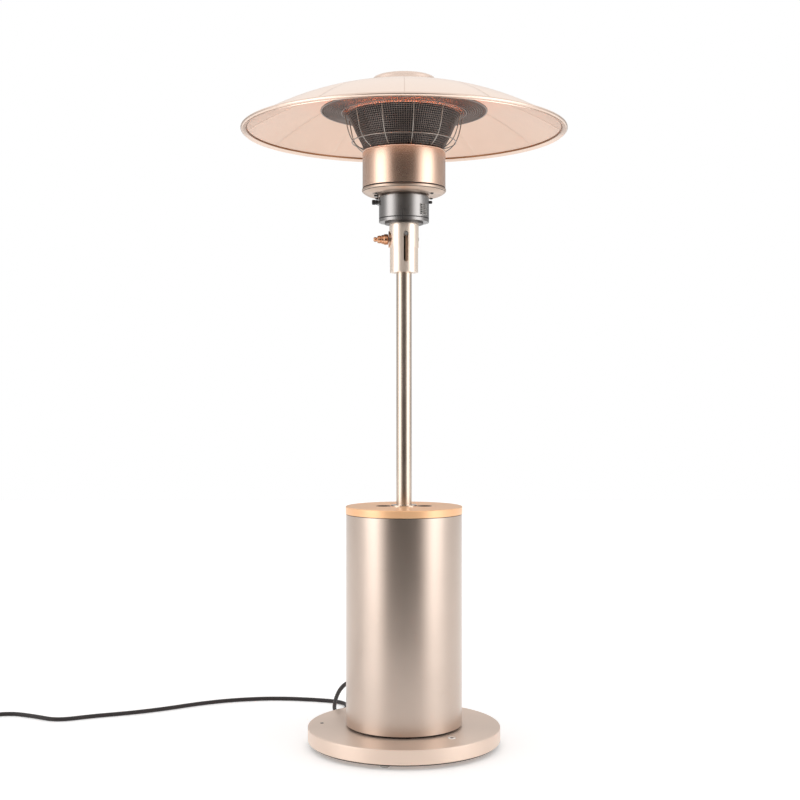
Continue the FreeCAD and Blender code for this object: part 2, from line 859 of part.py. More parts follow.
def make_sleeve():
    """The thick tube that slides on the mast, with its slot, clamp bore and grub bore."""
    sleeve_lift = sleeve_top - size["sleeve_length"]
    sleeve_step_lift = sleeve_top - size["sleeve_step_length"]
    tube = turned("sleeve_tube", [
        (mast_bore, sleeve_lift),
        (sleeve_radius, sleeve_lift),
        (sleeve_radius, sleeve_step_lift),
        (sleeve_outer, sleeve_step_lift),
        (sleeve_outer, sleeve_top),
        (mast_bore, sleeve_top),
    ])
    side_x, side_y = polar(slot_width / 2, slot_angle - 90)
    flank = size["slot_length"] - slot_width
    middle = slot_lift + slot_width / 2
    reach = sleeve_radius * 2
    cutters = [
        block("slot_middle", reach, slot_width, flank, side_x, side_y, middle, turn=slot_angle),
    ]
    for name, radius, height, angle in (
        ("slot_low", slot_width / 2, middle, slot_angle),
        ("slot_high", slot_width / 2, middle + flank, slot_angle),
        ("clamp_bore", insert_radius, clamp_height, 180),
        ("grub_bore", size["grub_radius"], clamp_height, 0),
    ):
        cutters.append(rod(name, radius, reach, z=height, **outward(angle)))
    cutters.append(rod(
        "rim_seat", insert_flange, reach, -flange_start, 0, clamp_height,
        **outward(180),
    ))
    return cut("sleeve", tube, cutters)


insert_start = mast_bore + size["touch_gap"]
insert_end = sleeve_outer + size["insert_proud"]


def make_clamp_insert():
    """The threaded brass bush that the clamp screw turns in, with a wide rim."""
    shell = rod(
        "insert_body", insert_radius, insert_end - insert_start, -insert_start, 0,
        clamp_height, **outward(180),
    )
    rim = rod(
        "insert_rim", insert_flange, insert_end - flange_start, -flange_start, 0,
        clamp_height, **outward(180),
    )
    bore_radius = size["clamp_thread"] + size["slide_gap"]
    bore = rod("insert_bore", bore_radius, insert_end * 2, 0, 0, clamp_height, **outward(180))
    return cut("clamp_insert", joined("insert_solid", [shell, rim]), [bore])


def make_grub_screw():
    """The small set screw opposite the clamp."""
    return rod(
        "grub_screw", size["grub_radius"], sleeve_outer - insert_start + size["touch_gap"], insert_start,
        0, clamp_height, **outward(0),
    )


pad_start = size["mast_radius"] + size["touch_gap"]
pad_end = pad_start + size["pad_length"]
pad_radius = size["clamp_thread"] - size["pad_step"]


def make_clamp_pad():
    """The nylon pad at the clamp screw's tip, pressed on the mast."""
    return rod(
        "clamp_pad", pad_radius, size["pad_length"], -pad_start, 0, clamp_height,
        **outward(180),
    )


def make_clamp_screw():
    """Threaded shank, and a knob that steps down to a small tip."""
    knob_start = insert_end + size["touch_gap"]
    waist_start = knob_start + size["screw_knob_length"]
    tip_start = waist_start + size["screw_waist_length"]
    parts = []
    for name, low, high, start, length in (
        ("shank", size["clamp_thread"], size["clamp_thread"], pad_end, knob_start - pad_end),
        (
            "knob", size["screw_knob_radius"], size["screw_waist_radius"], knob_start,
            size["screw_knob_length"],
        ),
        (
            "waist", size["screw_waist_radius"], size["screw_waist_end"], waist_start,
            size["screw_waist_length"],
        ),
        (
            "tip", size["screw_tip_radius"], size["screw_tip_end"], tip_start,
            size["screw_tip_length"],
        ),
    ):
        height = clamp_height
        parts.append(cone(f"clamp_{name}", low, high, length, -start, 0, height, **outward(180)))
    return joined("clamp_screw", parts)


# ---------------------------------------------------------------- control housing

control_lift = sleeve_top + size["under_disc_thick"]
control_top = control_lift + size["control_height"]
control_inner = size["control_radius"] - size["control_wall"]
cover_lift = control_top - size["cover_thick"]
mast_hole = size["mast_radius"] + size["mast_room"]
wire_hole = size["wire_pitch"] / 2 + size["wire_radius"] + size["wire_room"]
control_axis = control_lift + size["control_axis_rise"]
GRILLE_ANGLE = -39.0
# The switches stand this far in from the housing's wall, and the button has room to move.
SWITCH = {"length": 14.0, "width": 18.0, "height": 18.0, "inset": 4.0, "travel": 1.8}
switch_end = control_inner - SWITCH["inset"]
# The knob's grip is flattened to a share of its radius over a share of its length.
KNOB_FLAT = {"depth": 0.62, "length": 0.7, "clearance": 1.0}
BRACKET = {"width": 12.0, "thick": 1.4, "foot": 6.0, "below_axis": 4.0}


def make_under_disc():
    return ring(
        "under_disc", mast_hole, sleeve_outer + size["under_disc_out"], sleeve_top,
        size["under_disc_thick"],
    )


def make_control_housing():
    """A grooved cup, open below for the mast, with a side hole each for the knob and the button."""
    groove = control_lift + size["groove_lift"]
    groove_radius = size["control_radius"] - size["control_groove"]
    cup = turned("control_cup", [
        (mast_hole, control_lift),
        (size["control_radius"], control_lift),
        (size["control_radius"], groove),
        (groove_radius, groove),
        (groove_radius, groove + size["groove_height"]),
        (size["control_radius"], groove + size["groove_height"]),
        (size["control_radius"], control_top),
        (control_inner, control_top),
        (control_inner, control_lift + size["control_wall"]),
        (mast_hole, control_lift + size["control_wall"]),
    ])
    spindle_hole = size["spindle_radius"] + size["slide_gap"]
    button_hole = size["button_radius"] + size["slide_gap"]
    reach = size["control_radius"] * 1.5
    left = rod("spindle_hole", spindle_hole, reach, z=control_axis, **outward(180))
    right = rod("button_hole", button_hole, reach, z=control_axis, **outward(0))
    return cut("control_housing", cup, [left, right])


def make_control_cover():
    return ring("control_cover", wire_hole, control_inner, cover_lift, size["cover_thick"])


def make_vent_grille():
    """A small curved grille on the housing's front right."""
    inner = size["control_radius"]
    outer = inner + size["grille_proud"]
    lift = control_lift + size["grille_lift"]
    grille = turned("vent_grille", [
        (inner, lift),
        (outer, lift),
        (outer, lift + size["grille_height"]),
        (inner, lift + size["grille_height"]),
    ], sweep=size["grille_sweep"])
    grille.Placement = FreeCAD.Placement(
        FreeCAD.Vector(0, 0, 0),
        FreeCAD.Rotation(FreeCAD.Vector(0, 0, 1), GRILLE_ANGLE - size["grille_sweep"].value / 2),
    )
    return grille


def make_switches():
    """The rotary heat switch behind the knob and the overheat cut-out behind the button."""
    lift = cover_lift - SWITCH["height"] - size["touch_gap"]
    made = []
    low_side = -SWITCH["width"] / 2
    for label, x in (("rotary_switch", -switch_end), ("overheat_cutout", switch_end - SWITCH["length"])):
        made.append(block(label, SWITCH["length"], SWITCH["width"], SWITCH["height"], x, low_side, lift))
    return made


def make_knob():
    """The heat knob with a flat grip, and the spindle that it turns."""
    start = size["control_radius"] + size["knob_gap"] + BRACKET["thick"] + size["touch_gap"]
    grip = rod(
        "knob_grip", size["knob_radius"], size["knob_length"], -start, 0, control_axis,
        **outward(180),
    )
    flats = []
    for name, side in (("front", -1), ("back", 1)):
        depth = size["knob_radius"]
        near = size["knob_radius"] * KNOB_FLAT["depth"]
        y = near if side > 0 else -(near + depth)
        flats.append(block(
            f"knob_flat_{name}", size["knob_length"] * KNOB_FLAT["length"], depth, size["knob_radius"] * 3,
            -start - size["knob_length"] - KNOB_FLAT["clearance"], y,
            control_axis - size["knob_radius"] * 1.5,
        ))
    knob = cut("control_knob", grip, flats)
    spindle_start = switch_end + size["touch_gap"]
    spindle = rod(
        "knob_spindle", size["spindle_radius"], start - spindle_start, -spindle_start, 0,
        control_axis, **outward(180),
    )
    return [knob, spindle]


def make_knob_bracket():
    """The angle plate under the pan that steadies the knob's spindle."""
    pan_lift = control_top + size["neck_height"]
    low = control_axis - BRACKET["below_axis"]
    inner = size["control_radius"] + size["knob_gap"]
    half = BRACKET["width"] / 2
    plate = block(
        "bracket_plate", BRACKET["thick"], BRACKET["width"], pan_lift - low, -inner - BRACKET["thick"],
        -half, low,
    )
    foot = block(
        "bracket_foot", BRACKET["foot"], BRACKET["width"], BRACKET["thick"], -inner - BRACKET["foot"],
        -half, pan_lift - BRACKET["thick"],
    )
    hole = rod(
        "bracket_hole", size["spindle_radius"] + size["slide_gap"], size["control_radius"] * 2,
        z=control_axis, **outward(180),
    )
    return cut("knob_bracket", joined("bracket_solid", [plate, foot]), [hole])


def make_reset_button():
    """The push button of the overheat cut-out."""
    start = switch_end + size["touch_gap"] + SWITCH["travel"]
    length = size["control_radius"] + size["button_proud"] - start
    return rod("reset_button", size["button_radius"], length, start, 0, control_axis, **outward(0))


# ---------------------------------------------------------------- canister

pan_lift = control_top + size["neck_height"]
pan_top = pan_lift + size["pan_height"]
can_top = pan_top + size["can_height"]
can_inner = size["can_radius"] - size["can_wall"]
plate_top = can_top - size["plate_drop"]
plate_lift = plate_top - size["plate_thick"]
ceramic_top = plate_top + size["ceramic_thick"]
post_radius = size["screw_radius"] + size["post_wall"]
element_foot = ceramic_top + size["socket_floor"]
element_height = ceramic_top + size["element_rise"]
mesh_foot_radius = can_inner - size["mesh_seat_width"]
ceramic_radius = mesh_foot_radius - size["ceramic_room"]
element_radius = ceramic_radius - size["element_inset"]


def make_neck_ring():
    outer = control_inner - size["neck_inset"]
    return ring("neck_ring", wire_hole, outer, control_top, size["neck_height"])


def make_pan():
    """The flared dish that closes the canister from below."""
    pan_radius = size["can_radius"] + size["pan_proud"]
    pan_foot_radius = pan_radius - size["pan_taper"]
    return turned("pan", [
        (wire_hole, pan_lift),
        (pan_foot_radius, pan_lift),
        (pan_radius, pan_lift + size["pan_flare"]),
        (pan_radius, pan_top),
        (can_inner - size["pan_wall"], pan_top),
        (pan_foot_radius - size["pan_wall"], pan_lift + size["pan_wall"]),
        (wire_hole, pan_lift + size["pan_wall"]),
    ])


def make_canister():
    """The canister's wall with a rolled lip at its top."""
    lip = size["can_lip"]
    proud = size["can_radius"] + lip
    return turned("canister", [
        (can_inner, pan_top),
        (size["can_radius"], pan_top),
        (size["can_radius"], can_top - lip * 3),
        (proud, can_top - lip * 2),
        (proud, can_top - lip),
        (size["can_radius"], can_top),
        (can_inner, can_top),
    ])


def post_spots():
    return [polar(size["post_ring"], angle) for angle in angles(3, 30.0)]


def wire_spots():
    return [(-size["wire_pitch"] / 2, ZERO), (size["wire_pitch"] / 2, ZERO)]


def make_element_plate():
    """The steel plate across the canister that carries the ceramic and the posts."""
    return ring("element_plate", wire_hole, can_inner, plate_lift, size["plate_thick"])


def make_ceramic_base():
    ceramic = ring("ceramic_base", 0, ceramic_radius, plate_top, size["ceramic_thick"])
    bored(ceramic, post_spots(), post_radius, plate_top, size["ceramic_thick"])
    return bored(ceramic, wire_spots(), size["wire_radius"], plate_top, size["ceramic_thick"])


def element_ends():
    """X and Y of the element's two ends, either side of the gap at its back."""
    half = size["element_gap"].value / 2
    return [polar(element_radius, angle) for angle in (90.0 + half, 90.0 - half)]


def make_element_sockets():
    """Two ceramic sockets for the element's legs."""
    sockets = []
    for i, (x, y) in enumerate(element_ends()):
        body = rod(f"socket_body_{i}", size["socket_radius"], size["socket_height"], x, y, ceramic_top)
        well = rod(f"socket_well_{i}", size["element_tube"], size["socket_height"], x, y, element_foot)
        sockets.append(cut(f"socket_{i}", body, [well]))
    return group("element_sockets", sockets)


def make_heating_element():
    """An open quartz ring that turns down into two legs."""
    arc = doc.addObject("Part::Torus", "element_ring")
    bind(
        arc, Radius1=element_radius, Radius2=size["element_tube"],
        Angle3=as_size(360) - size["element_gap"],
    )
    turn = 90.0 + size["element_gap"].value / 2
    place(arc, 0, 0, element_height, turn=turn)
    parts = [arc]
    height = element_height - element_foot
    for i, (x, y) in enumerate(element_ends()):
        parts.append(rod(f"element_leg_{i}", size["element_tube"], height, x, y, element_foot))
        ball = doc.addObject("Part::Sphere", f"element_bend_{i}")
        bind(ball, Radius=size["element_tube"])
        parts.append(place(ball, x, y, element_height))
    return joined("heating_element", parts)


def make_element_leads():
    """Two heat-proof wires from the control housing up to the ceramic."""
    leads = []
    low = control_axis
    for i, (x, y) in enumerate(wire_spots()):
        leads.append(rod(f"element_wire_{i}", size["wire_radius"], ceramic_top - low, x, y, low))
    return group("element_leads", leads)


# ---------------------------------------------------------------- mesh bowl and guard

mesh_throat_radius = mesh_foot_radius + size["mesh_throat_out"]
mesh_throat_height = can_top + size["mesh_throat_rise"]


def make_emitter_mesh():
    """The bowl and brim as one thin sheet with a hoop at its edge."""
    wall = size["mesh_thick"]
    mesh_waist_radius = mesh_foot_radius + size["mesh_waist_out"]
    mesh_waist_height = can_top + size["mesh_waist_rise"]
    brim_radius = mesh_throat_radius + size["brim_out"]
    brim_height = can_top + size["brim_rise"]
    turn_radius = mesh_throat_radius + size["brim_turn_out"]
    turn_height = mesh_throat_height + size["brim_turn_up"]
    bowl = turned("mesh_bowl", [
        (mesh_foot_radius, can_top),
        (mesh_foot_radius + wall, can_top),
        (mesh_waist_radius + wall, mesh_waist_height),
        (mesh_throat_radius + wall, mesh_throat_height),
        (turn_radius + wall, turn_height),
        (brim_radius, brim_height - wall),
        (brim_radius, brim_height),
        (turn_radius, turn_height + wall),
        (mesh_throat_radius, mesh_throat_height + wall),
        (mesh_waist_radius, mesh_waist_height + wall),
    ])
    hoop = doc.addObject("Part::Torus", "brim_hoop")
    bind(hoop, Radius1=brim_radius, Radius2=size["hoop_radius"])
    place(hoop, 0, 0, brim_height - wall / 2)
    seat_lift = can_top - size["mesh_seat_depth"]
    seat = ring("mesh_seat", mesh_foot_radius, can_inner, seat_lift, size["mesh_seat_depth"])
    return joined("emitter_mesh", [bowl, hoop, seat])


# The bends of one guard wire, outwards and upwards from the hoop, and its end from the throat.
GUARD_BENDS = ((-6.0, -6.4), (1.3, 2.2), (5.8, 13.0))
GUARD_END = (7.4, 3.6)
GUARD_FOOT_INSET = 0.6
GUARD_COUNT = 12
GUARD_START = -81.0


def make_wire_guard():
    """Twelve bent wires round the bowl, welded to one hoop."""
    wire_radius = size["guard_wire"].value
    hoop_radius = value(size["can_radius"] + size["guard_ring_out"])
    hoop_height = value(can_top + size["guard_ring_rise"])
    throat_radius, throat_height = mesh_throat_radius.value, mesh_throat_height.value
    points = [(size["can_radius"].value - GUARD_FOOT_INSET, 0.0, can_top.value + wire_radius)]
    for out, up in GUARD_BENDS:
        points.append((hoop_radius + out, 0.0, hoop_height + up))
    points.append((throat_radius + GUARD_END[0], 0.0, throat_height + GUARD_END[1]))
    wire = tube_along(route_wire(points), wire_radius, points[0], points[1])
    hoop = Part.makeTorus(hoop_radius, wire_radius, FreeCAD.Vector(0, 0, hoop_height))
    bars = []
    for angle in angles(GUARD_COUNT, GUARD_START):
        bar = wire.copy()
        bar.rotate(FreeCAD.Vector(0, 0, 0), FreeCAD.Vector(0, 0, 1), angle)
        bars.append(bar)
    item = doc.addObject("Part::Feature", "wire_guard")
    item.Shape = hoop.fuse(bars)
    return item


# ---------------------------------------------------------------- dome

dome_rim_height = can_top + size["dome_rim_rise"]


def dome_height(radius):
    """Height of the dome's outer face over a radius, as a plain number."""
    rim, rise = size["dome_radius"].value, size["dome_rise"].value
    ball = (rim * rim + rise * rise) / (2 * rise)
    top = dome_rim_height.value + rise
    return top - ball + math.sqrt(ball * ball - radius * radius)


def make_dome():
    """The spun dome, drilled for its three screws."""
    skin = cap_shell(
        "dome_skin", size["dome_radius"], dome_rim_height, size["dome_rise"], size["dome_wall"],
    )
    holes = []
    for i, (x, y) in enumerate(post_spots()):
        holes.append(
            rod(f"dome_hole_{i}", size["screw_radius"], size["dome_rise"] * 2, x, y, dome_rim_height),
        )
    return cut("dome", skin, holes)


def make_rim_bead(dome):
    """The rolled bead round the dome's edge."""
    bead = doc.addObject("Part::Torus", "bead_torus")
    bind(bead, Radius1=size["dome_radius"], Radius2=size["bead_radius"])
    place(bead, 0, 0, dome_rim_height - size["dome_wall"] / 2)
    return cut("rim_bead", bead, [dome])


def make_dome_posts():
    """Three posts from the element plate to the dome, tapped at the top."""
    posts = []
    top = dome_height(value(size["post_ring"] + post_radius))
    top -= size["dome_wall"].value + size["dome_gap"].value
    for i, (x, y) in enumerate(post_spots()):
        body = rod(f"post_body_{i}", post_radius, as_size(top) - plate_top, x, y, plate_top)
        tap = rod(
            f"post_tap_{i}", size["screw_radius"], size["screw_reach"], x, y,
            top - size["screw_reach"].value,
        )
        posts.append(cut(f"post_{i}", body, [tap]))
    return group("dome_posts", posts)


def make_dome_screws():
    """Three screws through the dome into the posts, hidden under the cap."""
    screws = []
    seat = dome_height(size["post_ring"].value - size["screw_head_radius"].value)
    seat += size["dome_gap"].value
    for i, (x, y) in enumerate(post_spots()):
        shank = rod(
            f"dome_shank_{i}", size["screw_radius"], size["screw_reach"], x, y,
            seat - size["screw_reach"].value,
        )
        head = rod(f"dome_head_{i}", size["screw_head_radius"], size["screw_head_height"], x, y, seat)
        screws.append(joined(f"dome_screw_{i}", [shank, head]))
    return group("dome_screws", screws)


def make_top_cap():
    """The flat-topped cap over the screws, with a skirt down to the dome."""
    radius, wall, bevel = size["cap_radius"], size["cap_wall"], size["cap_bevel"]
    inner = radius - wall
    seat = as_size(dome_height(inner.value)) + size["dome_gap"]
    shoulder = seat + size["cap_skirt"]
    top = shoulder + bevel
    return turned("top_cap", [
        (0, top - wall),
        (inner - bevel * 2, top - wall),
        (inner, shoulder - wall / 2),
        (inner, seat),
        (radius, seat),
        (radius, shoulder),
        (radius - bevel, top - bevel / 3),
        (radius - bevel * 2.5, top),
        (0, top),
    ])


# ---------------------------------------------------------------- mains lead

# The lead's floor height, its route after the boot, and the coil and plug at its far end.
FLOOR = 3.1
ROUTE = (
    (-79.0, 112.5, 66.0),
    (-100.0, 131.0, 44.0),
    (-108.0, 158.0, FLOOR),
    (-86.0, 197.0, FLOOR),
    (-92.5, 236.0, FLOOR),
    (-135.0, 254.0, FLOOR),
    (-205.0, 266.0, FLOOR),
    (-270.0, 254.0, FLOOR),
    (-322.0, 229.0, FLOOR),
    (-368.0, 195.0, FLOOR),
    (-418.0, 167.0, FLOOR),
    (-470.0, 148.0, FLOOR),
    (-518.0, 121.0, FLOOR),
    (-556.0, 145.0, FLOOR),
    (-600.0, 166.0, FLOOR),
    (-640.0, 146.0, FLOOR),
)
LAST_RUN = 38.0
LAST_HEADING = 216.0
COIL = {"middle": 33.0, "turns_wide": 3, "layers": 2}
# Lengths of the plug's face, grip, tail and pins, and the radii where they meet.
PLUG = {
    "face": 12.0, "grip": 26.0, "tail": 20.0, "reach": 19.0,
    "radius": 18.0, "grip_end": 15.3, "grip_start": 12.6, "tail_end": 9.9, "tail_start": 3.8,
    "pin": 2.4, "pitch": 19.0,
}
# The stretch from the coil to the plug: (sideways, towards the front, height) from the coil's centre.
TAIL_ROUTE = (
    (-37.0, 12.0, 9.1),
    (-37.0, 38.0, 10.0),
    (-38.5, 65.0, 17.2),
    (-37.5, 90.0, 18.1),
)


def coil_entry():
    x, y, z = ROUTE[-1]
    heading = math.radians(LAST_HEADING)
    return x + LAST_RUN * math.cos(heading), y + LAST_RUN * math.sin(heading), z


def coil_centre():
    """The lead enters the coil along its outermost turn."""
    x, y, _ = coil_entry()
    outer = COIL["middle"] + (COIL["turns_wide"] - 1) * size["lead_radius"].value
    side = math.radians(LAST_HEADING + 90)
    return x + outer * math.cos(side), y + outer * math.sin(side)


def make_mains_lead():
    start = along_gland(gland_tip, gland_height)
    points = (start,) + ROUTE + (coil_entry(),)
    return swept("mains_lead", points, size["lead_radius"].value, report="mains_lead")


def make_lead_coil():
    """The outer shape of the tied coil that takes up the rest of the lead."""
    thick = size["lead_radius"].value
    half_width = COIL["turns_wide"] * thick
    x, y = coil_centre()
    height = COIL["layers"] * 2 * thick
    low = FLOOR - thick
    outer = rod("coil_outer", COIL["middle"] + half_width, height, x, y, low)
    inner = rod("coil_inner", COIL["middle"] - half_width, height * 2, x, y, low - height / 2)
    return cut("lead_coil", outer, [inner])


def tail_points():
    """The stretch from the coil to the plug, in the model's own coordinates."""
    x, y = coil_centre()
    return [(x + aside, y - ahead, height) for aside, ahead, height in TAIL_ROUTE]


def make_plug_lead():
    return swept("plug_lead", tail_points(), size["lead_radius"].value, report="plug_lead")


def make_mains_plug():
    """A moulded plug that lies on its side, and its two pins."""
    x, y, height = tail_points()[-1]
    along = outward(-90)
    tail = cone("plug_tail", PLUG["tail_start"], PLUG["tail_end"], PLUG["tail"], x, y, height, **along)
    grip_y = y - PLUG["tail"]
    grip = cone(
        "plug_grip", PLUG["grip_start"], PLUG["grip_end"], PLUG["grip"], x, grip_y, height, **along,
    )
    face_y = grip_y - PLUG["grip"]
    face = rod("plug_face", PLUG["radius"], PLUG["face"], x, face_y, height, **along)
    plug = joined("mains_plug", [tail, grip, face])
    pins = []
    for i, side in enumerate((-0.5, 0.5)):
        pin_x = x + side * PLUG["pitch"]
        pins.append(
            rod(f"plug_pin_{i}", PLUG["pin"], PLUG["reach"], pin_x, face_y - PLUG["face"], height, **along),
        )
    return [plug, group("plug_pins", pins)]


# ---------------------------------------------------------------- build and write

def make_all():
    dome = make_dome()
    made = [
        make_base_disc(), make_base_underlay(), make_disc_plugs(), make_plinth_ring(),
        make_housing_floor(), make_ballast(), make_base_bolts(), make_mast_flange(),
        make_flange_screws(), make_housing_shell(), make_mast_brace(), make_mast(), make_guide_pin(),
        make_terminal_block(), make_tilt_switch(), make_lead_gland(), make_inner_lead(), make_riser_lead(),
        make_lid(), make_lid_collar(), make_lid_gasket(),
        make_sleeve(), make_clamp_insert(), make_grub_screw(), make_clamp_pad(), make_clamp_screw(),
        make_under_disc(), make_control_housing(), make_control_cover(), make_vent_grille(),
        make_knob_bracket(), make_reset_button(), make_neck_ring(), make_pan(), make_canister(),
        make_element_plate(), make_ceramic_base(), make_element_sockets(), make_heating_element(),
        make_element_leads(), make_emitter_mesh(), make_wire_guard(),
        dome, make_rim_bead(dome), make_dome_posts(), make_dome_screws(), make_top_cap(),
        make_mains_lead(), make_lead_coil(), make_plug_lead(),
    ]
    for several in (make_glides(), make_switches(), make_knob(), make_mains_plug()):
        made.extend(several)
    return made


def write_parts(made):
    """Checks every object, then writes one STEP file for each sub-part."""
    doc.recompute()
    broken = [item.Label for item in doc.Objects if {"Invalid", "Error"} & set(item.State)]
    for item in made:
        if item.Shape.isNull() or not item.Shape.isValid():
            broken.append(item.Label)
    if broken:
        raise ValueError(f"objects that failed: {broken}")
    os.makedirs("parts", exist_ok=True)
    for item in made:
        item.Shape.exportStep(f"parts/{item.Label}.step")
    print(f"{len(made)} sub-parts written")


write_parts(make_all())
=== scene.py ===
import math

import bpy
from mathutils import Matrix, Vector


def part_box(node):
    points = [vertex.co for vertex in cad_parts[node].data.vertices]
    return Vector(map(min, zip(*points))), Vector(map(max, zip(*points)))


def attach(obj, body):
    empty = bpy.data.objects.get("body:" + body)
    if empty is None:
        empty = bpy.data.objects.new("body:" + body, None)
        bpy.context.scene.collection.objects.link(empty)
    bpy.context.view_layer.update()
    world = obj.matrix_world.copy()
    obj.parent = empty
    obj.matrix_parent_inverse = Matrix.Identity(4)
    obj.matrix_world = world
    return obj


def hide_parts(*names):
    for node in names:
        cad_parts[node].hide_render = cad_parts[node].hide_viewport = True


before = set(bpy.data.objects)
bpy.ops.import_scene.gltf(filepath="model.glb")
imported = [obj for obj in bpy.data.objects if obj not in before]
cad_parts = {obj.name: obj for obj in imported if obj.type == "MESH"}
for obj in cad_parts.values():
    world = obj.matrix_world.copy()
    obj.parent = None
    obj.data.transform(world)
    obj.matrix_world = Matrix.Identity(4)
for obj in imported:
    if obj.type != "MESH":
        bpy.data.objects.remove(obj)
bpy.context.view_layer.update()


# The studio: a white floor and a white room, a tall soft light to each side of the front,
# and a dim wall behind the camera that gives the metal its dark middle.
class Signal:
    """An output socket in a tree of shader nodes. Arithmetic on it adds Math nodes."""

    def __init__(self, socket):
        self.socket = socket

    def node(self, kind, sockets, output=0, stops=(), **settings):
        """Any other node of the same tree: its settings first, then its sockets' values or links."""
        tree = self.socket.id_data
        made = tree.nodes.new(kind)
        for name, value in settings.items():
            setattr(made, name, value)
        for i, (position, colour) in enumerate(stops):
            elements = made.color_ramp.elements
            stop = elements[i] if i < 2 else elements.new(position)
            stop.position, stop.color = position, (*colour, 1)
        for name, value in sockets.items():
            if isinstance(value, Signal):
                tree.links.new(value.socket, made.inputs[name])
            else:
                made.inputs[name].default_value = value
        return Signal(made.outputs[output])

    def part(self, output):
        """Another output of the same node."""
        return Signal(self.socket.node.outputs[output])

    def maths(self, operation, *values):
        """A Math node in the same tree."""
        return self.node("ShaderNodeMath", dict(enumerate(values)), operation=operation)

    def __add__(self, other):
        return self.maths("ADD", self, other)

    def __mul__(self, other):
        return self.maths("MULTIPLY", self, other)


def between(mask, low, high):
    """A colour that goes from low to high as the mask goes from 0 to 1."""
    return mask.node("ShaderNodeMix", {0: mask, 6: low, 7: high}, output=2, data_type="RGBA")


def finish(name, constants):
    """A material with one Principled shader, whose constants are set on its own sockets."""
    material = bpy.data.materials.new(name)
    material.use_nodes = True
    shader = material.node_tree.nodes["Principled BSDF"]
    for socket, value in constants.items():
        shader.inputs[socket].default_value = value
    places = material.node_tree.nodes.new("ShaderNodeTexCoord")
    return material, shader, Signal(places.outputs["Object"])


def drive(shader, links):
    """Links signals to sockets of a shader."""
    for socket, signal in links.items():
        shader.id_data.links.new(signal.socket, shader.inputs[socket])


scene = bpy.context.scene
scene.view_settings.view_transform = "Standard"

camera = bpy.data.objects.new("camera", bpy.data.cameras.new("camera"))
camera.location = (-0.0056, -1.82, 0.4813)
camera.rotation_euler.x = math.radians(90)
camera.data.lens = 58.5
scene.collection.objects.link(camera)
scene.camera = camera

room = bpy.data.worlds.new("studio_room")
scene.world = room
room.use_nodes = True
room_nodes = room.node_tree.nodes
WHITE = (1.0, 1.0, 1.0, 1)
DARK_FROM, BRIGHT_FROM = 0.26, 0.46
heading = Signal(room_nodes.new("ShaderNodeTexCoord").outputs["Generated"])
heading_axes = heading.node("ShaderNodeSeparateXYZ", {0: heading})
towards_front = heading_axes.part(1) * -0.5 + 0.5
overhead = heading_axes.node("ShaderNodeMapRange", {
    "Value": heading_axes.part(2), "From Min": DARK_FROM, "From Max": BRIGHT_FROM,
    "To Min": 0.0, "To Max": 1.0,
})
walls = towards_front.node("ShaderNodeValToRGB", {0: towards_front}, stops=(
    (0.00, (0.46, 0.46, 0.46)),
    (0.32, (0.50, 0.50, 0.50)),
    (0.46, (0.90, 0.90, 0.90)),
    (0.54, (1.7, 1.7, 1.7)),
    (0.60, (2.7, 2.7, 2.7)),
    (0.76, (2.7, 2.7, 2.7)),
    (0.86, (1.10, 1.08, 1.06)),
    (0.92, (0.24, 0.225, 0.215)),
    (0.96, (0.09, 0.080, 0.075)),
    (1.00, (0.05, 0.045, 0.04)),
))
seen_directly = Signal(room_nodes.new("ShaderNodeLightPath").outputs["Is Camera Ray"])
room_light = between(overhead, walls, WHITE)
shown = between(seen_directly, room_light, WHITE)
room.node_tree.links.new(shown.socket, room_nodes["Background"].inputs["Color"])

FLOOR_WIDTH, FLOOR_FRONT, FLOOR_BACK = 12, -0.78, 4.36
bpy.ops.object.select_all(action="DESELECT")
bpy.ops.mesh.primitive_grid_add(x_subdivisions=2, y_subdivisions=2, size=1, location=(0, 0, 0))
floor = bpy.context.object
floor.name = "floor"
floor.scale = (FLOOR_WIDTH, FLOOR_BACK - FLOOR_FRONT, 1)
floor.location = (0, (FLOOR_FRONT + FLOOR_BACK) / 2, 0)
bpy.ops.object.transform_apply(location=True, rotation=True, scale=True)
paper, paper_shader, spot = finish("white_paper_floor", {
    "Roughness": 0.7, "Specular IOR Level": 0.2, "Emission Color": WHITE, "Emission Strength": 0.19,
})
fibres = spot.node("ShaderNodeTexNoise", {"Vector": spot, "Scale": 60.0, "Detail": 4.0})
drive(paper_shader, {"Base Color": between(fibres, (0.93, 0.93, 0.93, 1), (0.97, 0.97, 0.97, 1))})
floor.data.materials.append(paper)


# The mains lead: a round rubber-jacketed lead that drops from the boot to the floor, runs off in
# loose curves, and ends in a tied coil with its plug.
LEAD = 0.006
FLOOR_LINE = 0.0031
COIL_TURNS = 4.15
COIL_CENTRE = (-0.64782, 0.09211)
COIL_FROM = 126
COIL_WIDE, COIL_NARROW, COIL_PITCH = 0.039, 0.027, 0.006
GLAND_AZIMUTH, GLAND_HEIGHT = 125, 0.068


def about_mast(radius, azimuth, height):
    """A point at a distance from the mast's axis, in a direction in degrees."""
    turn = math.radians(azimuth)
    return (radius * math.cos(turn), radius * math.sin(turn), height)


def about_coil(radius, azimuth, height):
    """A point at a distance from the coil's middle, in a direction in degrees."""
    turn = math.radians(azimuth)
    return (COIL_CENTRE[0] + radius * math.cos(turn), COIL_CENTRE[1] + radius * math.sin(turn), height)


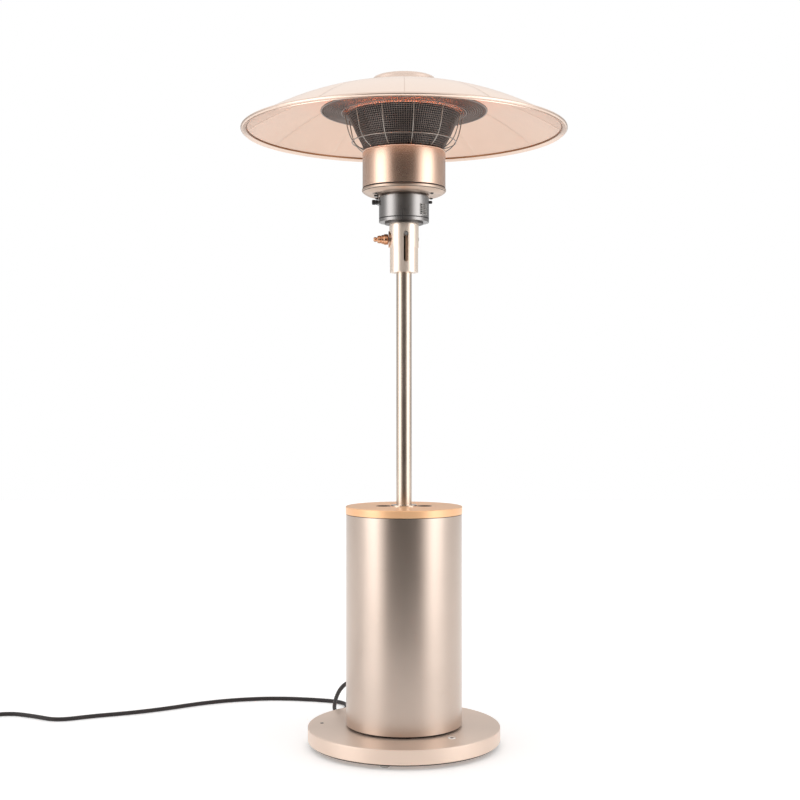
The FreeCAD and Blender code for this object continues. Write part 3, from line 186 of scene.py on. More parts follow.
lead_exit = about_mast(0.1073, GLAND_AZIMUTH, GLAND_HEIGHT)
lead_route = [
    lead_exit,
    (-0.079, 0.1125, 0.066),
    (-0.100, 0.131, 0.044),
    (-0.108, 0.158, FLOOR_LINE),
    (-0.086, 0.197, FLOOR_LINE),
    (-0.0925, 0.236, FLOOR_LINE),
    (-0.135, 0.254, FLOOR_LINE),
    (-0.205, 0.266, FLOOR_LINE),
    (-0.270, 0.254, FLOOR_LINE),
    (-0.322, 0.229, FLOOR_LINE),
    (-0.368, 0.195, FLOOR_LINE),
    (-0.418, 0.167, FLOOR_LINE),
    (-0.470, 0.148, FLOOR_LINE),
    (-0.518, 0.121, FLOOR_LINE),
    (-0.556, 0.145, FLOOR_LINE),
    (-0.600, 0.166, FLOOR_LINE),
    (-0.640, 0.146, FLOOR_LINE),
]
POINTS_PER_TURN = 16
for step in range(int(COIL_TURNS * POINTS_PER_TURN) + 1):
    turn = step / POINTS_PER_TURN
    if turn < 2:
        radius, height = COIL_WIDE - COIL_PITCH * turn, FLOOR_LINE
    elif turn < 2.5:
        climb = (turn - 2) * 2
        radius = COIL_NARROW - 0.0012 * math.sin(math.pi * climb)
        height = FLOOR_LINE + LEAD * climb * climb * (3 - 2 * climb)
    else:
        radius, height = COIL_NARROW + COIL_PITCH * (turn - 2.5), FLOOR_LINE + LEAD
    lead_route.append(about_coil(radius, COIL_FROM + 360 * turn, height))
plug_start = (COIL_CENTRE[0] - 0.0375, COIL_CENTRE[1] - 0.090, 0.0181)
for aside, ahead, height in ((-0.037, 0.012, 0.0091), (-0.037, 0.038, 0.010), (-0.0385, 0.065, 0.0172)):
    lead_route.append((COIL_CENTRE[0] + aside, COIL_CENTRE[1] - ahead, height))
lead_route.append(plug_start)

lead_line = bpy.data.curves.new("mains_lead_line", "CURVE")
lead_line.dimensions = "3D"
lead_line.bevel_depth = LEAD / 2
lead_line.bevel_resolution = 4
lead_line.resolution_u = 8
lead_line.use_fill_caps = True
spline = lead_line.splines.new("NURBS")
spline.points.add(len(lead_route) - 1)
for point, place in zip(spline.points, lead_route):
    point.co = (*place, 1)
spline.order_u = 3
spline.use_endpoint_u = True
lead = bpy.data.objects.new("mains_lead_line", lead_line)
scene.collection.objects.link(lead)

jacket, jacket_shader, spot = finish("lead_jacket", {"Roughness": 0.45})
scuffs = spot.node("ShaderNodeTexNoise", {"Vector": spot, "Scale": 90.0, "Detail": 5.0})
pores = spot.node("ShaderNodeTexNoise", {"Vector": spot, "Scale": 1800.0, "Detail": 2.0})
drive(jacket_shader, {
    "Base Color": between(scuffs, (0.009, 0.005, 0.005, 1), (0.024, 0.015, 0.014, 1)),
    "Roughness": scuffs * 0.2 + 0.36,
    "Normal": pores.node("ShaderNodeBump", {"Height": pores, "Strength": 0.12, "Distance": 0.0002}),
})
lead.data.materials.append(jacket)
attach(lead, "base")
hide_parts("mains_lead", "lead_coil", "plug_lead")


# The plug: moulded in one piece on the lead's end, with a ribbed tail, a waisted grip, and two
# plated pins pressed into its face.
def placed(piece, at=(0, 0, 0), turned=(0, 0, 0)):
    """Moves and turns a finished piece, then puts its object back at the origin."""
    piece.location = at
    piece.rotation_euler = [math.radians(angle) for angle in turned]
    bpy.ops.object.select_all(action="DESELECT")
    bpy.context.view_layer.objects.active = piece
    piece.select_set(True)
    bpy.ops.object.transform_apply(location=True, rotation=True, scale=True)
    return piece


def drawn_up(name, outline, facets=64, closed=False):
    """A piece drawn up ring by ring. Its outline lists (radius, height), or (x radius, y radius,
    height) where it isn't round."""
    outline = [(row[0], row[-2], row[-1]) for row in outline]
    wide, deep, height = outline[0]
    bpy.ops.object.select_all(action="DESELECT")
    fill = "NOTHING" if closed else "NGON"
    bpy.ops.mesh.primitive_circle_add(vertices=facets, radius=1, fill_type=fill, location=(0, 0, 0))
    piece = bpy.context.object
    piece.name = name
    bpy.ops.object.mode_set(mode="EDIT")
    bpy.ops.mesh.select_all(action="SELECT")
    bpy.ops.transform.resize(value=(wide, deep, 1))
    bpy.ops.transform.translate(value=(0, 0, height))
    for next_wide, next_deep, next_height in outline[1:]:
        bpy.ops.mesh.extrude_region_move()
        bpy.ops.transform.resize(value=(next_wide / wide, next_deep / deep, 1))
        bpy.ops.transform.translate(value=(0, 0, next_height - height))
        wide, deep, height = next_wide, next_deep, next_height
    bpy.ops.mesh.select_all(action="SELECT")
    bpy.ops.mesh.remove_doubles(threshold=0.000002)
    bpy.ops.mesh.normals_make_consistent(inside=False)
    bpy.ops.object.mode_set(mode="OBJECT")
    bpy.ops.object.shade_smooth_by_angle(angle=math.radians(32))
    return piece


def merged(name, pieces, material):
    """Several copies of one piece under one name, in one finish."""
    bpy.ops.object.select_all(action="DESELECT")
    for piece in pieces:
        piece.data.materials.append(material)
        piece.select_set(True)
    bpy.context.view_layer.objects.active = pieces[0]
    bpy.ops.object.join()
    pieces[0].name = name
    return pieces[0]


TAIL_RIBS, TAIL_LENGTH = 6, 0.0200
tail_ribs = []
for rib in range(TAIL_RIBS):
    reach = rib / TAIL_RIBS
    start = TAIL_LENGTH * reach
    outer = 0.0042 + 0.0052 * reach
    tail_ribs += [
        (outer, start), (outer, start + 0.0021), (outer - 0.0009, start + 0.0024),
        (outer - 0.0009, start + 0.0031),
    ]
plug = drawn_up("plug_body", tail_ribs + [
    (0.0105, 0.0205), (0.0128, 0.0118, 0.0225), (0.0132, 0.0112, 0.0320), (0.0146, 0.0122, 0.0410),
    (0.0158, 0.0150, 0.0450), (0.0172, 0.0172, 0.0462), (0.0179, 0.0179, 0.0470),
    (0.0179, 0.0179, 0.0570), (0.0173, 0.0173, 0.0579),
])
placed(plug, plug_start, (90, 0, 0))
plug.data.materials.append(jacket)
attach(plug, "base")
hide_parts("mains_plug")

plated, plated_shader, spot = finish("plug_pin_plating", {"Metallic": 1.0, "Roughness": 0.2})
wiped = spot.node("ShaderNodeTexNoise", {"Vector": spot, "Scale": 700.0, "Detail": 3.0})
drive(plated_shader, {
    "Base Color": between(wiped, (0.70, 0.69, 0.66, 1), (0.84, 0.83, 0.80, 1)),
    "Roughness": wiped * 0.16 + 0.12,
})
PIN_SPACING, PLUG_FACE = 0.019, 0.058
pins = []
for side in (-PIN_SPACING / 2, PIN_SPACING / 2):
    pin = drawn_up("plug_pin", [
        (0.0024, 0.0), (0.0024, 0.0175), (0.0021, 0.0184), (0.0014, 0.0189),
    ], facets=24)
    pin_at = (plug_start[0] + side, plug_start[1] - PLUG_FACE, plug_start[2])
    pins.append(placed(pin, pin_at, (90, 0, 0)))
plug_pins = merged("plug_pins_pair", pins, plated)
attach(plug_pins, "base")
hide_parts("plug_pins")


# The coil's ties: two flat hook-and-loop straps round all the turns, drawn snug, so the lead stays
# put away.
def thickened(piece, thickness, offset):
    """Gives a thin skin its thickness, inwards (-1) or outwards (1)."""
    skin = piece.modifiers.new("skin", "SOLIDIFY")
    skin.thickness, skin.offset = thickness, offset
    bpy.ops.object.modifier_apply(modifier="skin")


def tie_round_coil(angle):
    """One strap, bent from a box whose two ends are open."""
    bpy.ops.object.select_all(action="DESELECT")
    bpy.ops.mesh.primitive_cube_add(size=1, location=(0, 0, 0))
    strap = bpy.context.object
    strap.name = "coil_tie"
    bpy.ops.object.mode_set(mode="EDIT")
    bpy.ops.mesh.select_all(action="SELECT")
    bpy.ops.transform.resize(value=(0.0200, 0.0090, 0.0128))
    bpy.ops.mesh.select_mode(type="FACE")
    bpy.ops.mesh.select_all(action="DESELECT")
    bpy.ops.object.mode_set(mode="OBJECT")
    for face in strap.data.polygons:
        face.select = abs(face.normal.y) > 0.9
    bpy.ops.object.mode_set(mode="EDIT")
    bpy.ops.mesh.delete(type="ONLY_FACE")
    bpy.ops.mesh.select_mode(type="EDGE")
    bpy.ops.mesh.select_all(action="DESELECT")
    bpy.ops.object.mode_set(mode="OBJECT")
    for edge in strap.data.edges:
        ends = [strap.data.vertices[i].co for i in edge.vertices]
        edge.select = abs(ends[0].y - ends[1].y) > 0.005
    bpy.ops.object.mode_set(mode="EDIT")
    bpy.ops.mesh.bevel(offset=0.0045, segments=6, affect="EDGES")
    bpy.ops.mesh.select_mode(type="VERT")
    bpy.ops.object.mode_set(mode="OBJECT")
    thickened(strap, 0.0009, -1)
    placed(strap, about_coil(0.0328, angle, 0.0066), (0, 0, angle))
    bpy.ops.object.shade_smooth_by_angle(angle=math.radians(40))
    return strap


strap_cloth, strap_shader, spot = finish("tie_strap", {"Roughness": 0.9, "Sheen Weight": 0.4})
loops = spot.node("ShaderNodeTexVoronoi", {"Vector": spot, "Scale": 1600.0})
drive(strap_shader, {
    "Base Color": between(loops, (0.03, 0.03, 0.03, 1), (0.09, 0.085, 0.08, 1)),
    "Normal": loops.node("ShaderNodeBump", {"Height": loops, "Strength": 0.5, "Distance": 0.0003}),
})
ties = [tie_round_coil(20), tie_round_coil(-95)]
for tie in ties:
    tie.data.materials.append(strap_cloth)
    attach(tie, "base")


# The strain relief: a black moulded boot with ribs that get smaller towards its tip, on a round
# flange, with a threaded stub through the can's wall and a nut inside.
boot = [
    (0.00305, 0.0), (0.0058, 0.0), (0.0060, 0.0004), (0.0060, 0.0094), (0.0084, 0.0094),
    (0.0090, 0.0100), (0.0090, 0.0142), (0.0084, 0.0152), (0.0074, 0.0156),
]
for rib in range(7):
    start = 0.0160 + 0.0027 * rib
    outer = 0.0072 - 0.0004 * rib
    boot += [
        (outer - 0.0011, start), (outer - 0.0011, start + 0.0009), (outer, start + 0.0012),
        (outer, start + 0.0022), (outer - 0.0003, start + 0.0026),
    ]
boot += [(0.0043, 0.0350), (0.0040, 0.0355), (0.00305, 0.0355), (0.00305, 0.0)]
relief = drawn_up("strain_relief_boot", boot, facets=48, closed=True)
placed(relief, about_mast(0.0718, GLAND_AZIMUTH, GLAND_HEIGHT), (90, 0, GLAND_AZIMUTH + 90))


def moulded(name, dark, light, rough, speckle=900.0):
    """A plastic or a rubber: fine moulded grain, and a faint bloom over larger patches."""
    material, shader, spot = finish(name, {"Roughness": rough})
    grain = spot.node("ShaderNodeTexNoise", {"Vector": spot, "Scale": speckle, "Detail": 3.0})
    bloom = spot.node("ShaderNodeTexNoise", {"Vector": spot, "Scale": 45.0, "Detail": 4.0})
    drive(shader, {
        "Base Color": between(bloom, (*dark, 1), (*light, 1)),
        "Roughness": bloom * 0.18 + (rough - 0.09),
        "Normal": grain.node("ShaderNodeBump", {"Height": grain, "Strength": 0.18, "Distance": 0.0002}),
    })
    return material


def clad(material, *nodes):
    """Gives carried-over nodes a finish."""
    for node in nodes:
        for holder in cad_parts[node].material_slots:
            holder.material = material


black_moulding = moulded("black_moulding", (0.010, 0.010, 0.011), (0.030, 0.028, 0.027), 0.42)
relief.data.materials.append(black_moulding)
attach(relief, "base")
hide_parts("lead_gland")
clad(jacket, "inner_lead", "riser_lead", "element_leads")


# The foot: a cast disc, turned on top and at its edge and finished in satin champagne, with a
# black ring below, rubber whose black is also painted shade under the disc's edge, and four pale
# rubber glides on plated studs.
def satin_metal(name, low, high, rough, grain, marks=0.05, brushed=0.0, metallic=1.0):
    """A metal with a fine grain along one way of the piece, and a few soft handling marks.
    Brushing round the upright axis draws the gloss out upwards."""
    material, shader, spot = finish(name, {
        "Metallic": metallic, "Roughness": rough, "Anisotropic": brushed, "Anisotropic Rotation": 0.25,
    })
    drawn = spot.node("ShaderNodeMapping", {"Vector": spot, "Scale": grain})
    lines = drawn.node("ShaderNodeTexNoise", {"Vector": drawn, "Scale": 1.0, "Detail": 3.0})
    patches = spot.node("ShaderNodeTexNoise", {"Vector": spot, "Scale": 16.0, "Detail": 5.0})
    specks = spot.node("ShaderNodeTexNoise", {"Vector": spot, "Scale": 2600.0, "Detail": 2.0})
    rubbed = patches.node("ShaderNodeMapRange", {
        "Value": patches, "From Min": 0.35, "From Max": 0.65, "To Min": 0.0, "To Max": 1.0,
    })
    height = lines * 0.6 + specks * 0.4
    drive(shader, {
        "Base Color": between(rubbed * 0.5 + lines * 0.5, (*low, 1), (*high, 1)),
        "Roughness": lines * 0.06 + rubbed * marks + (rough - 0.03 - marks / 2),
        "Normal": height.node("ShaderNodeBump", {
            "Height": height, "Strength": 0.05, "Distance": 0.0001,
        }),
    })
    return material


foot_satin = satin_metal(
    "champagne_foot", (0.79, 0.625, 0.520), (0.84, 0.675, 0.565), 0.38, (500.0, 500.0, 2200.0),
    marks=0.02, brushed=0.6, metallic=0.75,
)
# Painted shade: this black rubber is also the colour of the rings under the disc, under the lid and in
# the housing's groove, standing for the shade in those gaps.
gap_shade_rubber = moulded("black_rubber_as_gap_shade", (0.020, 0.020, 0.021), (0.045, 0.044, 0.043), 0.72, speckle=500.0)
zinc = satin_metal(
    "zinc_plate", (0.50, 0.50, 0.49), (0.64, 0.64, 0.63), 0.36, (300.0, 300.0, 300.0), marks=0.12,
)
clad(foot_satin, "base_disc")
clad(gap_shade_rubber, "base_underlay")
clad(zinc, "glide_studs")
GLIDE_CIRCLE, GLIDES = 0.118, 4
foot_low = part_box("glide_feet")[0]
glides = []
for i in range(GLIDES):
    glide = drawn_up("glide_foot", [
        (0.0052, 0.0), (0.0062, 0.0005), (0.0066, 0.0014), (0.0068, 0.0030), (0.0064, 0.0033),
        (0.0064, 0.0040), (0.0071, 0.0043), (0.0074, 0.0058), (0.0074, 0.0066), (0.0070, 0.0070),
    ], facets=40)
    glides.append(placed(glide, about_mast(GLIDE_CIRCLE, -102.5 + 360 / GLIDES * i, foot_low.z)))
pale_rubber = moulded("pale_rubber", (0.46, 0.43, 0.40), (0.58, 0.55, 0.51), 0.55, speckle=500.0)
glide_set = merged("glide_feet_moulded", glides, pale_rubber)
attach(glide_set, "base")
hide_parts("glide_feet")


# The disc's plugs: two black blanking caps in its top, one at the back left and one at the front
# right. The front one sits in a bright turned washer.
PLUG_REACH = 0.0026
plug_low, plug_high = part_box("disc_plugs")
plug_black = moulded("plug_cap", (0.020, 0.016, 0.014), (0.050, 0.040, 0.035), 0.5)
plug_left, plug_right = plug_low.x + PLUG_REACH, plug_high.x - PLUG_REACH
plug_front, plug_back = plug_low.y + PLUG_REACH, plug_high.y - PLUG_REACH
plug_caps = []
for x, y in ((plug_left, plug_back), (plug_right, plug_front)):
    plug_cap = drawn_up("disc_plug_cap", [
        (0.0025, 0.0), (0.0025, 0.0030), (0.0023, 0.0032), (0.0010, 0.0030),
    ], facets=32)
    plug_caps.append(placed(plug_cap, (x, y, plug_low.z)))
plug_set = merged("disc_plug_caps", plug_caps, plug_black)
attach(plug_set, "base")
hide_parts("disc_plugs")
plug_washer = drawn_up("disc_plug_washer", [
    (0.0034, 0.0), (0.0056, 0.0), (0.0054, 0.0005), (0.0050, 0.0006), (0.0039, 0.0006),
    (0.0034, 0.0003), (0.0034, 0.0),
], facets=40, closed=True)
placed(plug_washer, (plug_right, plug_front, plug_high.z))
washer_steel = satin_metal(
    "bright_washer", (0.88, 0.85, 0.81), (0.96, 0.93, 0.90), 0.30, (500.0, 500.0, 500.0), metallic=0.6,
)
plug_washer.data.materials.append(washer_steel)
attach(plug_washer, "base")


# Three socket-head bolts, let into the disc from below, that hold the can and its ballast down.
# Each head is knurled and has a round socket.
def pick(piece, wanted):
    """Opens a piece in edit mode with only the points selected that pass a test."""
    bpy.ops.object.select_all(action="DESELECT")
    bpy.context.view_layer.objects.active = piece
    piece.select_set(True)
    bpy.ops.object.mode_set(mode="EDIT")
    bpy.ops.mesh.select_mode(type="VERT")
    bpy.ops.mesh.select_all(action="DESELECT")
    bpy.ops.object.mode_set(mode="OBJECT")
    for vertex in piece.data.vertices:
        reach, azimuth = math.hypot(vertex.co.x, vertex.co.y), math.atan2(vertex.co.y, vertex.co.x)
        vertex.select = wanted(reach, math.degrees(azimuth), vertex.co.z)
    bpy.ops.object.mode_set(mode="EDIT")


def fluted(piece, flutes, depth, wanted):
    """Draws every second point of the wanted rings towards the middle."""
    pick(piece, lambda reach, azimuth, z: wanted(reach, z) and round(azimuth * flutes / 180) % 2 == 0)
    bpy.ops.transform.resize(value=(1 - depth, 1 - depth, 1), center_override=(0, 0, 0))
    bpy.ops.object.mode_set(mode="OBJECT")


def socket_bolt():
    """One bolt, head down, with its shank above."""
    bolt = drawn_up("bolt_head", [
        (0.0024, 0.0037), (0.0024, 0.0006), (0.0028, 0.0), (0.0046, 0.0), (0.0050, 0.0005),
        (0.0050, 0.0052), (0.0047, 0.0055), (0.0030, 0.0055), (0.0030, 0.0370), (0.0025, 0.0376),
    ], facets=36)
    fluted(bolt, 18, 0.05, lambda reach, z: reach > 0.0049)
    return bolt


BOLT_CIRCLE = 0.045
bolt_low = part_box("base_bolts")[0]
bolts = [
    placed(socket_bolt(), about_mast(BOLT_CIRCLE, azimuth, bolt_low.z)) for azimuth in (30, 150, 270)
]
blackened = satin_metal(
    "blackened_screws", (0.05, 0.05, 0.05), (0.10, 0.10, 0.10), 0.4, (300.0, 300.0, 300.0),
)
bolt_set = merged("socket_bolts", bolts, blackened)
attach(bolt_set, "base")
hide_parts("base_bolts")


# The can's inside: a spacer that leaves the shadow gap, coloured near-black as painted shade in
# that gap, a plated floor, a cast-iron ring for weight, the mast's flange and its screws, the
# terminal block, the tilt switch and the brace.
# Painted shade: the spacer's near-black stands for the shadow in the gap under the can.
painted_gap_shadow = moulded("painted_gap_shadow", (0.012, 0.004, 0.002), (0.022, 0.009, 0.006), 0.7)
clad(painted_gap_shadow, "plinth_ring")
clad(black_moulding, "terminal_block", "tilt_switch")
clad(zinc, "housing_floor", "mast_flange", "flange_screws", "mast_brace", "guide_pin")
iron, iron_shader, spot = finish("cast_iron", {"Metallic": 1.0, "Roughness": 0.72})
sand = spot.node("ShaderNodeTexNoise", {"Vector": spot, "Scale": 420.0, "Detail": 6.0})
drive(iron_shader, {
    "Base Color": between(sand, (0.07, 0.065, 0.062, 1), (0.16, 0.15, 0.145, 1)),
    "Normal": sand.node("ShaderNodeBump", {"Height": sand, "Strength": 0.7, "Distance": 0.0008}),
})
clad(iron, "ballast")


# The can: rolled sheet, brushed round the upright axis and finished in satin champagne, with an
# open top that the lid closes.
can_satin = satin_metal(
    "champagne_can", (0.57, 0.465, 0.396), (0.61, 0.502, 0.431), 0.29, (60.0, 60.0, 3200.0),
    marks=0.01, brushed=0.6,
)
clad(can_satin, "housing_shell")


# The mast: a drawn steel tube in the same champagne finish, grained along its length, with a
# near-black strip of painted shade down its front where the sleeve's slot shows it.
mast_satin = satin_metal(
    "champagne_mast", (0.62, 0.51, 0.420), (0.68, 0.57, 0.480), 0.30, (2600.0, 2600.0, 60.0),
)
clad(mast_satin, "mast")
SLOT_SHADE_LEFT, SLOT_SHADE_RIGHT, SLOT_SHADE_FOOT = -0.003, 0.0018, 0.67
mast_shader = mast_satin.node_tree.nodes["Principled BSDF"]
plain = Signal(mast_shader.inputs["Base Color"].links[0].from_socket)
spot = Signal(mast_satin.node_tree.nodes["Texture Coordinate"].outputs["Object"])
axes = spot.node("ShaderNodeSeparateXYZ", {0: spot})
past_left = axes.maths("GREATER_THAN", axes.part(0), SLOT_SHADE_LEFT)
before_right = axes.maths("LESS_THAN", axes.part(0), SLOT_SHADE_RIGHT)
in_front = axes.maths("LESS_THAN", axes.part(1), 0.0)
high_up = axes.maths("GREATER_THAN", axes.part(2), SLOT_SHADE_FOOT)
# Painted shade: where the sleeve's slot shows the mast, a strip of its front is coloured near-black as
# the slot's shadow.
painted_slot_shade = before_right * past_left * in_front * high_up
drive(mast_shader, {"Base Color": between(painted_slot_shade, plain, (0.035, 0.024, 0.018, 1))})


# The lid: a thick coppered disc with two finger holes, on a thin black ring coloured as painted
# shade in the gap above the can, with a bright turned collar that lets it slide up the mast.
copper = satin_metal(
    "coppered_lid", (1.00, 0.555, 0.285), (1.00, 0.61, 0.340), 0.30, (420.0, 420.0, 2400.0),
    marks=0.02, brushed=0.6, metallic=0.35,
)
bright = satin_metal(
    "bright_turned", (0.82, 0.755, 0.69), (0.92, 0.86, 0.80), 0.20, (500.0, 500.0, 3200.0),
)
clad(copper, "lid")
clad(bright, "lid_collar")
# Painted shade: the ring under the lid is black to stand for the shade in the gap above the can.
clad(gap_shade_rubber, "lid_gasket")
hub_low, hub_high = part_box("lid_collar")
lid_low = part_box("lid")[0]
FINGER_REACH, GROMMET = 0.0110, 0.0104
finger_offset = (hub_high.x - hub_low.x) / 2 - 0.0005 + FINGER_REACH
grommets = []
for side in (-1, 1):
    grommet = drawn_up("finger_grommet", [
        (FINGER_REACH - 0.0008, 0.0), (FINGER_REACH - 0.0001, 0.0),
        (FINGER_REACH - 0.0001, GROMMET - 0.0002), (FINGER_REACH - 0.0003, GROMMET),
        (FINGER_REACH - 0.0007, GROMMET), (FINGER_REACH - 0.0009, GROMMET - 0.0004),
        (FINGER_REACH - 0.0009, 0.0003), (FINGER_REACH - 0.0008, 0.0),
    ], facets=72, closed=True)
    grommets.append(placed(grommet, (side * finger_offset, 0, lid_low.z)))
grommet_set = merged("finger_grommets", grommets, black_moulding)
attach(grommet_set, "lid")


# The sleeve: a thick turned tube that slides on the mast, slotted for the guide pin, with a small
# set screw on one side and the clamp on the other.
sleeve_satin = satin_metal(
    "bright_sleeve", (0.94, 0.79, 0.665), (0.99, 0.85, 0.735), 0.25, (100.0, 100.0, 3000.0),
    marks=0.03, metallic=0.6,
)
clad(sleeve_satin, "sleeve")
clad(blackened, "grub_screw")
bronze = satin_metal(
    "bronze_bush", (0.50, 0.32, 0.22), (0.62, 0.42, 0.31), 0.36, (900.0, 900.0, 900.0), marks=0.1,
)
clad(bronze, "clamp_insert")
nylon = moulded("nylon_pad", (0.66, 0.65, 0.60), (0.76, 0.75, 0.70), 0.45)
clad(nylon, "clamp_pad")


# The clamp screw: a turned and knurled copper-coloured knob in three steps, on a threaded shank
# that presses the pad against the mast.
screw_low, screw_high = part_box("clamp_screw")
KNURLS = 30
thumb = [(0.0030, 0.0), (0.0037, 0.0008)]
THREAD_PITCH = 0.00125
for turn in range(5):
    thumb += [(0.0040, 0.0012 + THREAD_PITCH * turn), (0.0035, 0.0018 + THREAD_PITCH * turn)]
knob_foot = 0.0083
thumb += [
    (0.0038, 0.0078), (0.0066, knob_foot), (0.0074, knob_foot + 0.0007), (0.0074, knob_foot + 0.0050),
    (0.0069, knob_foot + 0.0057), (0.0064, knob_foot + 0.0060), (0.0064, knob_foot + 0.0068),
    (0.0061, knob_foot + 0.0090), (0.0051, knob_foot + 0.0098), (0.0051, knob_foot + 0.0106),
    (0.0056, knob_foot + 0.0111), (0.0050, knob_foot + 0.0143), (0.0043, knob_foot + 0.0150),
    (0.0028, knob_foot + 0.0154), (0.0028, knob_foot + 0.0162), (0.0033, knob_foot + 0.0166),
    (0.0033, knob_foot + 0.0190), (0.0027, knob_foot + 0.0200), (0.0016, knob_foot + 0.0204),
]
thumb_screw = drawn_up("thumb_screw", thumb, facets=KNURLS * 2)
fluted(thumb_screw, KNURLS, 0.09, lambda reach, z: z > knob_foot + 0.0004)
screw_middle = (screw_low + screw_high) / 2
placed(thumb_screw, (screw_high.x, 0, screw_middle.z), (0, -90, 0))
thumb_metal = satin_metal(
    "coppered_brass", (0.72, 0.36, 0.20), (0.88, 0.52, 0.32), 0.26, (900.0, 2600.0, 2600.0), marks=0.1,
)
thumb_screw.data.materials.append(thumb_metal)
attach(thumb_screw, "clamp_screw")
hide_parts("clamp_screw")


# The control housing: a gunmetal cup with a turned groove, on a plated disc, with its cover, the
# heat switch and the overheat cut-out inside.
gunmetal = satin_metal(
    "gunmetal", (0.26, 0.247, 0.240), (0.38, 0.364, 0.355), 0.27, (1400.0, 1400.0, 40.0), marks=0.05,
)
clad(gunmetal, "control_housing", "control_cover")
dark_plate = satin_metal(
    "dark_plate", (0.10, 0.09, 0.085), (0.17, 0.155, 0.15), 0.38, (600.0, 600.0, 2600.0), marks=0.1,
)
clad(dark_plate, "under_disc", "neck_ring")
clad(black_moulding, "rotary_switch", "overheat_cutout")
cup_low, cup_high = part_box("control_housing")
cup_reach = (cup_high.x - cup_low.x) / 2
# Painted shade: a black ring set in the turned groove colours it as the groove's shadow.
groove_painted_shade_ring = drawn_up("groove_painted_shade_ring", [
    (cup_reach - 0.0012, 0.0), (cup_reach - 0.0003, 0.0), (cup_reach - 0.0001, 0.0003),
    (cup_reach - 0.0001, 0.0009), (cup_reach - 0.0003, 0.0012), (cup_reach - 0.0012, 0.0012),
    (cup_reach - 0.0012, 0.0),
], facets=120, closed=True)
placed(groove_painted_shade_ring, (0, 0, cup_low.z + 0.0043))
groove_painted_shade_ring.data.materials.append(gap_shade_rubber)
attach(groove_painted_shade_ring, "head")


# The vent: a small square of black wire mesh, wrapped on the housing at its front right, over a
# thin near-black sheet that is painted shade, standing for the dark behind the mesh.
grille_low, grille_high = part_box("vent_grille")
GRILLE_MIDDLE, GRILLE_HALF = -40.0, 10.0
GRILLE_BARS = 6


def cut_away(piece, wanted):
    """Deletes the points that pass a test, with their faces."""
    pick(piece, wanted)
    bpy.ops.mesh.delete(type="VERT")
    bpy.ops.object.mode_set(mode="OBJECT")


def open_tube(name, outline, facets):
    """A tube drawn up ring by ring with no end faces: the outline lists (radius, height)."""
    first_radius, foot = outline[0]
    tube = drawn_up(name, [(0.5 * first_radius, foot)] + list(outline), facets, closed=True)
    cut_away(tube, lambda reach, azimuth, z: reach < 0.75 * first_radius)
    return tube


def wrapped(name, radius, rows):
    """A piece of a tube between the grille's two edges."""
    height = grille_high.z - grille_low.z
    tube = open_tube(name, [(radius, grille_low.z + height * i / rows) for i in range(rows + 1)], 72)
    cut_away(tube, lambda reach, azimuth, z: abs(azimuth - GRILLE_MIDDLE) > GRILLE_HALF + 0.5)
    return tube


def as_wires(sheet, thickness):
    """Turns every edge of a sheet into a wire."""
    wires = sheet.modifiers.new("wires", "WIREFRAME")
    wires.thickness, wires.use_even_offset, wires.use_boundary = thickness, False, True
    bpy.ops.object.modifier_apply(modifier="wires")
    return sheet


vent_shade_sheet = wrapped("vent_painted_shade", 0.0351, 2)
thickened(vent_shade_sheet, 0.0002, 1)
vent = as_wires(wrapped("vent_mesh", 0.0355, GRILLE_BARS), 0.0008)
# Painted shade: this near-black is put on the vent's backing, the bowl's inner sheet and the pan's two
# rings, standing for shade behind the mesh and in the gaps between parts.
painted_shade_black = moulded("painted_shade_sheet_black", (0.006, 0.006, 0.006), (0.016, 0.015, 0.014), 0.5)
vent_shade_sheet.data.materials.append(painted_shade_black)
vent_steel = satin_metal(
    "vent_steel", (0.52, 0.50, 0.48), (0.72, 0.70, 0.67), 0.34, (900.0, 900.0, 900.0),
)
vent.data.materials.append(vent_steel)
for piece in (vent_shade_sheet, vent):
    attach(piece, "head")
    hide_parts("vent_grille")


# The heat knob: a small black grip with two flats, on a plated spindle that an angle bracket
# steadies. The reset button stands out of the other side, with a domed end.
knob_low, knob_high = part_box("control_knob")
knob_reach = knob_high.x - knob_low.x
grip = [(0.0016, 0.0), (0.0030, 0.0), (0.0036, 0.0004), (0.0036, 0.0016), (0.0031, 0.0020)]
grip += [(0.0031, 0.0026), (0.0035, 0.0031), (0.0035, knob_reach - 0.0012)]
grip += [(0.0031, knob_reach - 0.0004), (0.0024, knob_reach)]
knob = drawn_up("heat_knob_grip", grip, facets=36)
fluted(knob, 18, 0.08, lambda reach, z: z > 0.0029)
pick(knob, lambda reach, azimuth, z: z > 0.0029)
bpy.ops.transform.resize(value=(1.0, 0.72, 1), center_override=(0, 0, 0))
bpy.ops.object.mode_set(mode="OBJECT")
knob_middle = (knob_low + knob_high) / 2
placed(knob, (knob_high.x, knob_middle.y, knob_middle.z), (0, -90, 0))
knob.data.materials.append(black_moulding)
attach(knob, "heat_knob")
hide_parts("control_knob")
clad(zinc, "knob_spindle")
clad(dark_plate, "knob_bracket")

button_low, button_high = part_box("reset_button")
button_reach = button_high.x - button_low.x
button = drawn_up("reset_button_cap", [
    (0.0018, 0.0), (0.0021, 0.0003), (0.0021, button_reach - 0.0012), (0.0018, button_reach - 0.0005),
    (0.0011, button_reach - 0.0001), (0.0004, button_reach),
], facets=28)
button_middle = (button_low + button_high) / 2
placed(button, (button_low.x, button_middle.y, button_middle.z), (0, 90, 0))
button.data.materials.append(black_moulding)
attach(button, "reset_button")
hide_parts("reset_button")


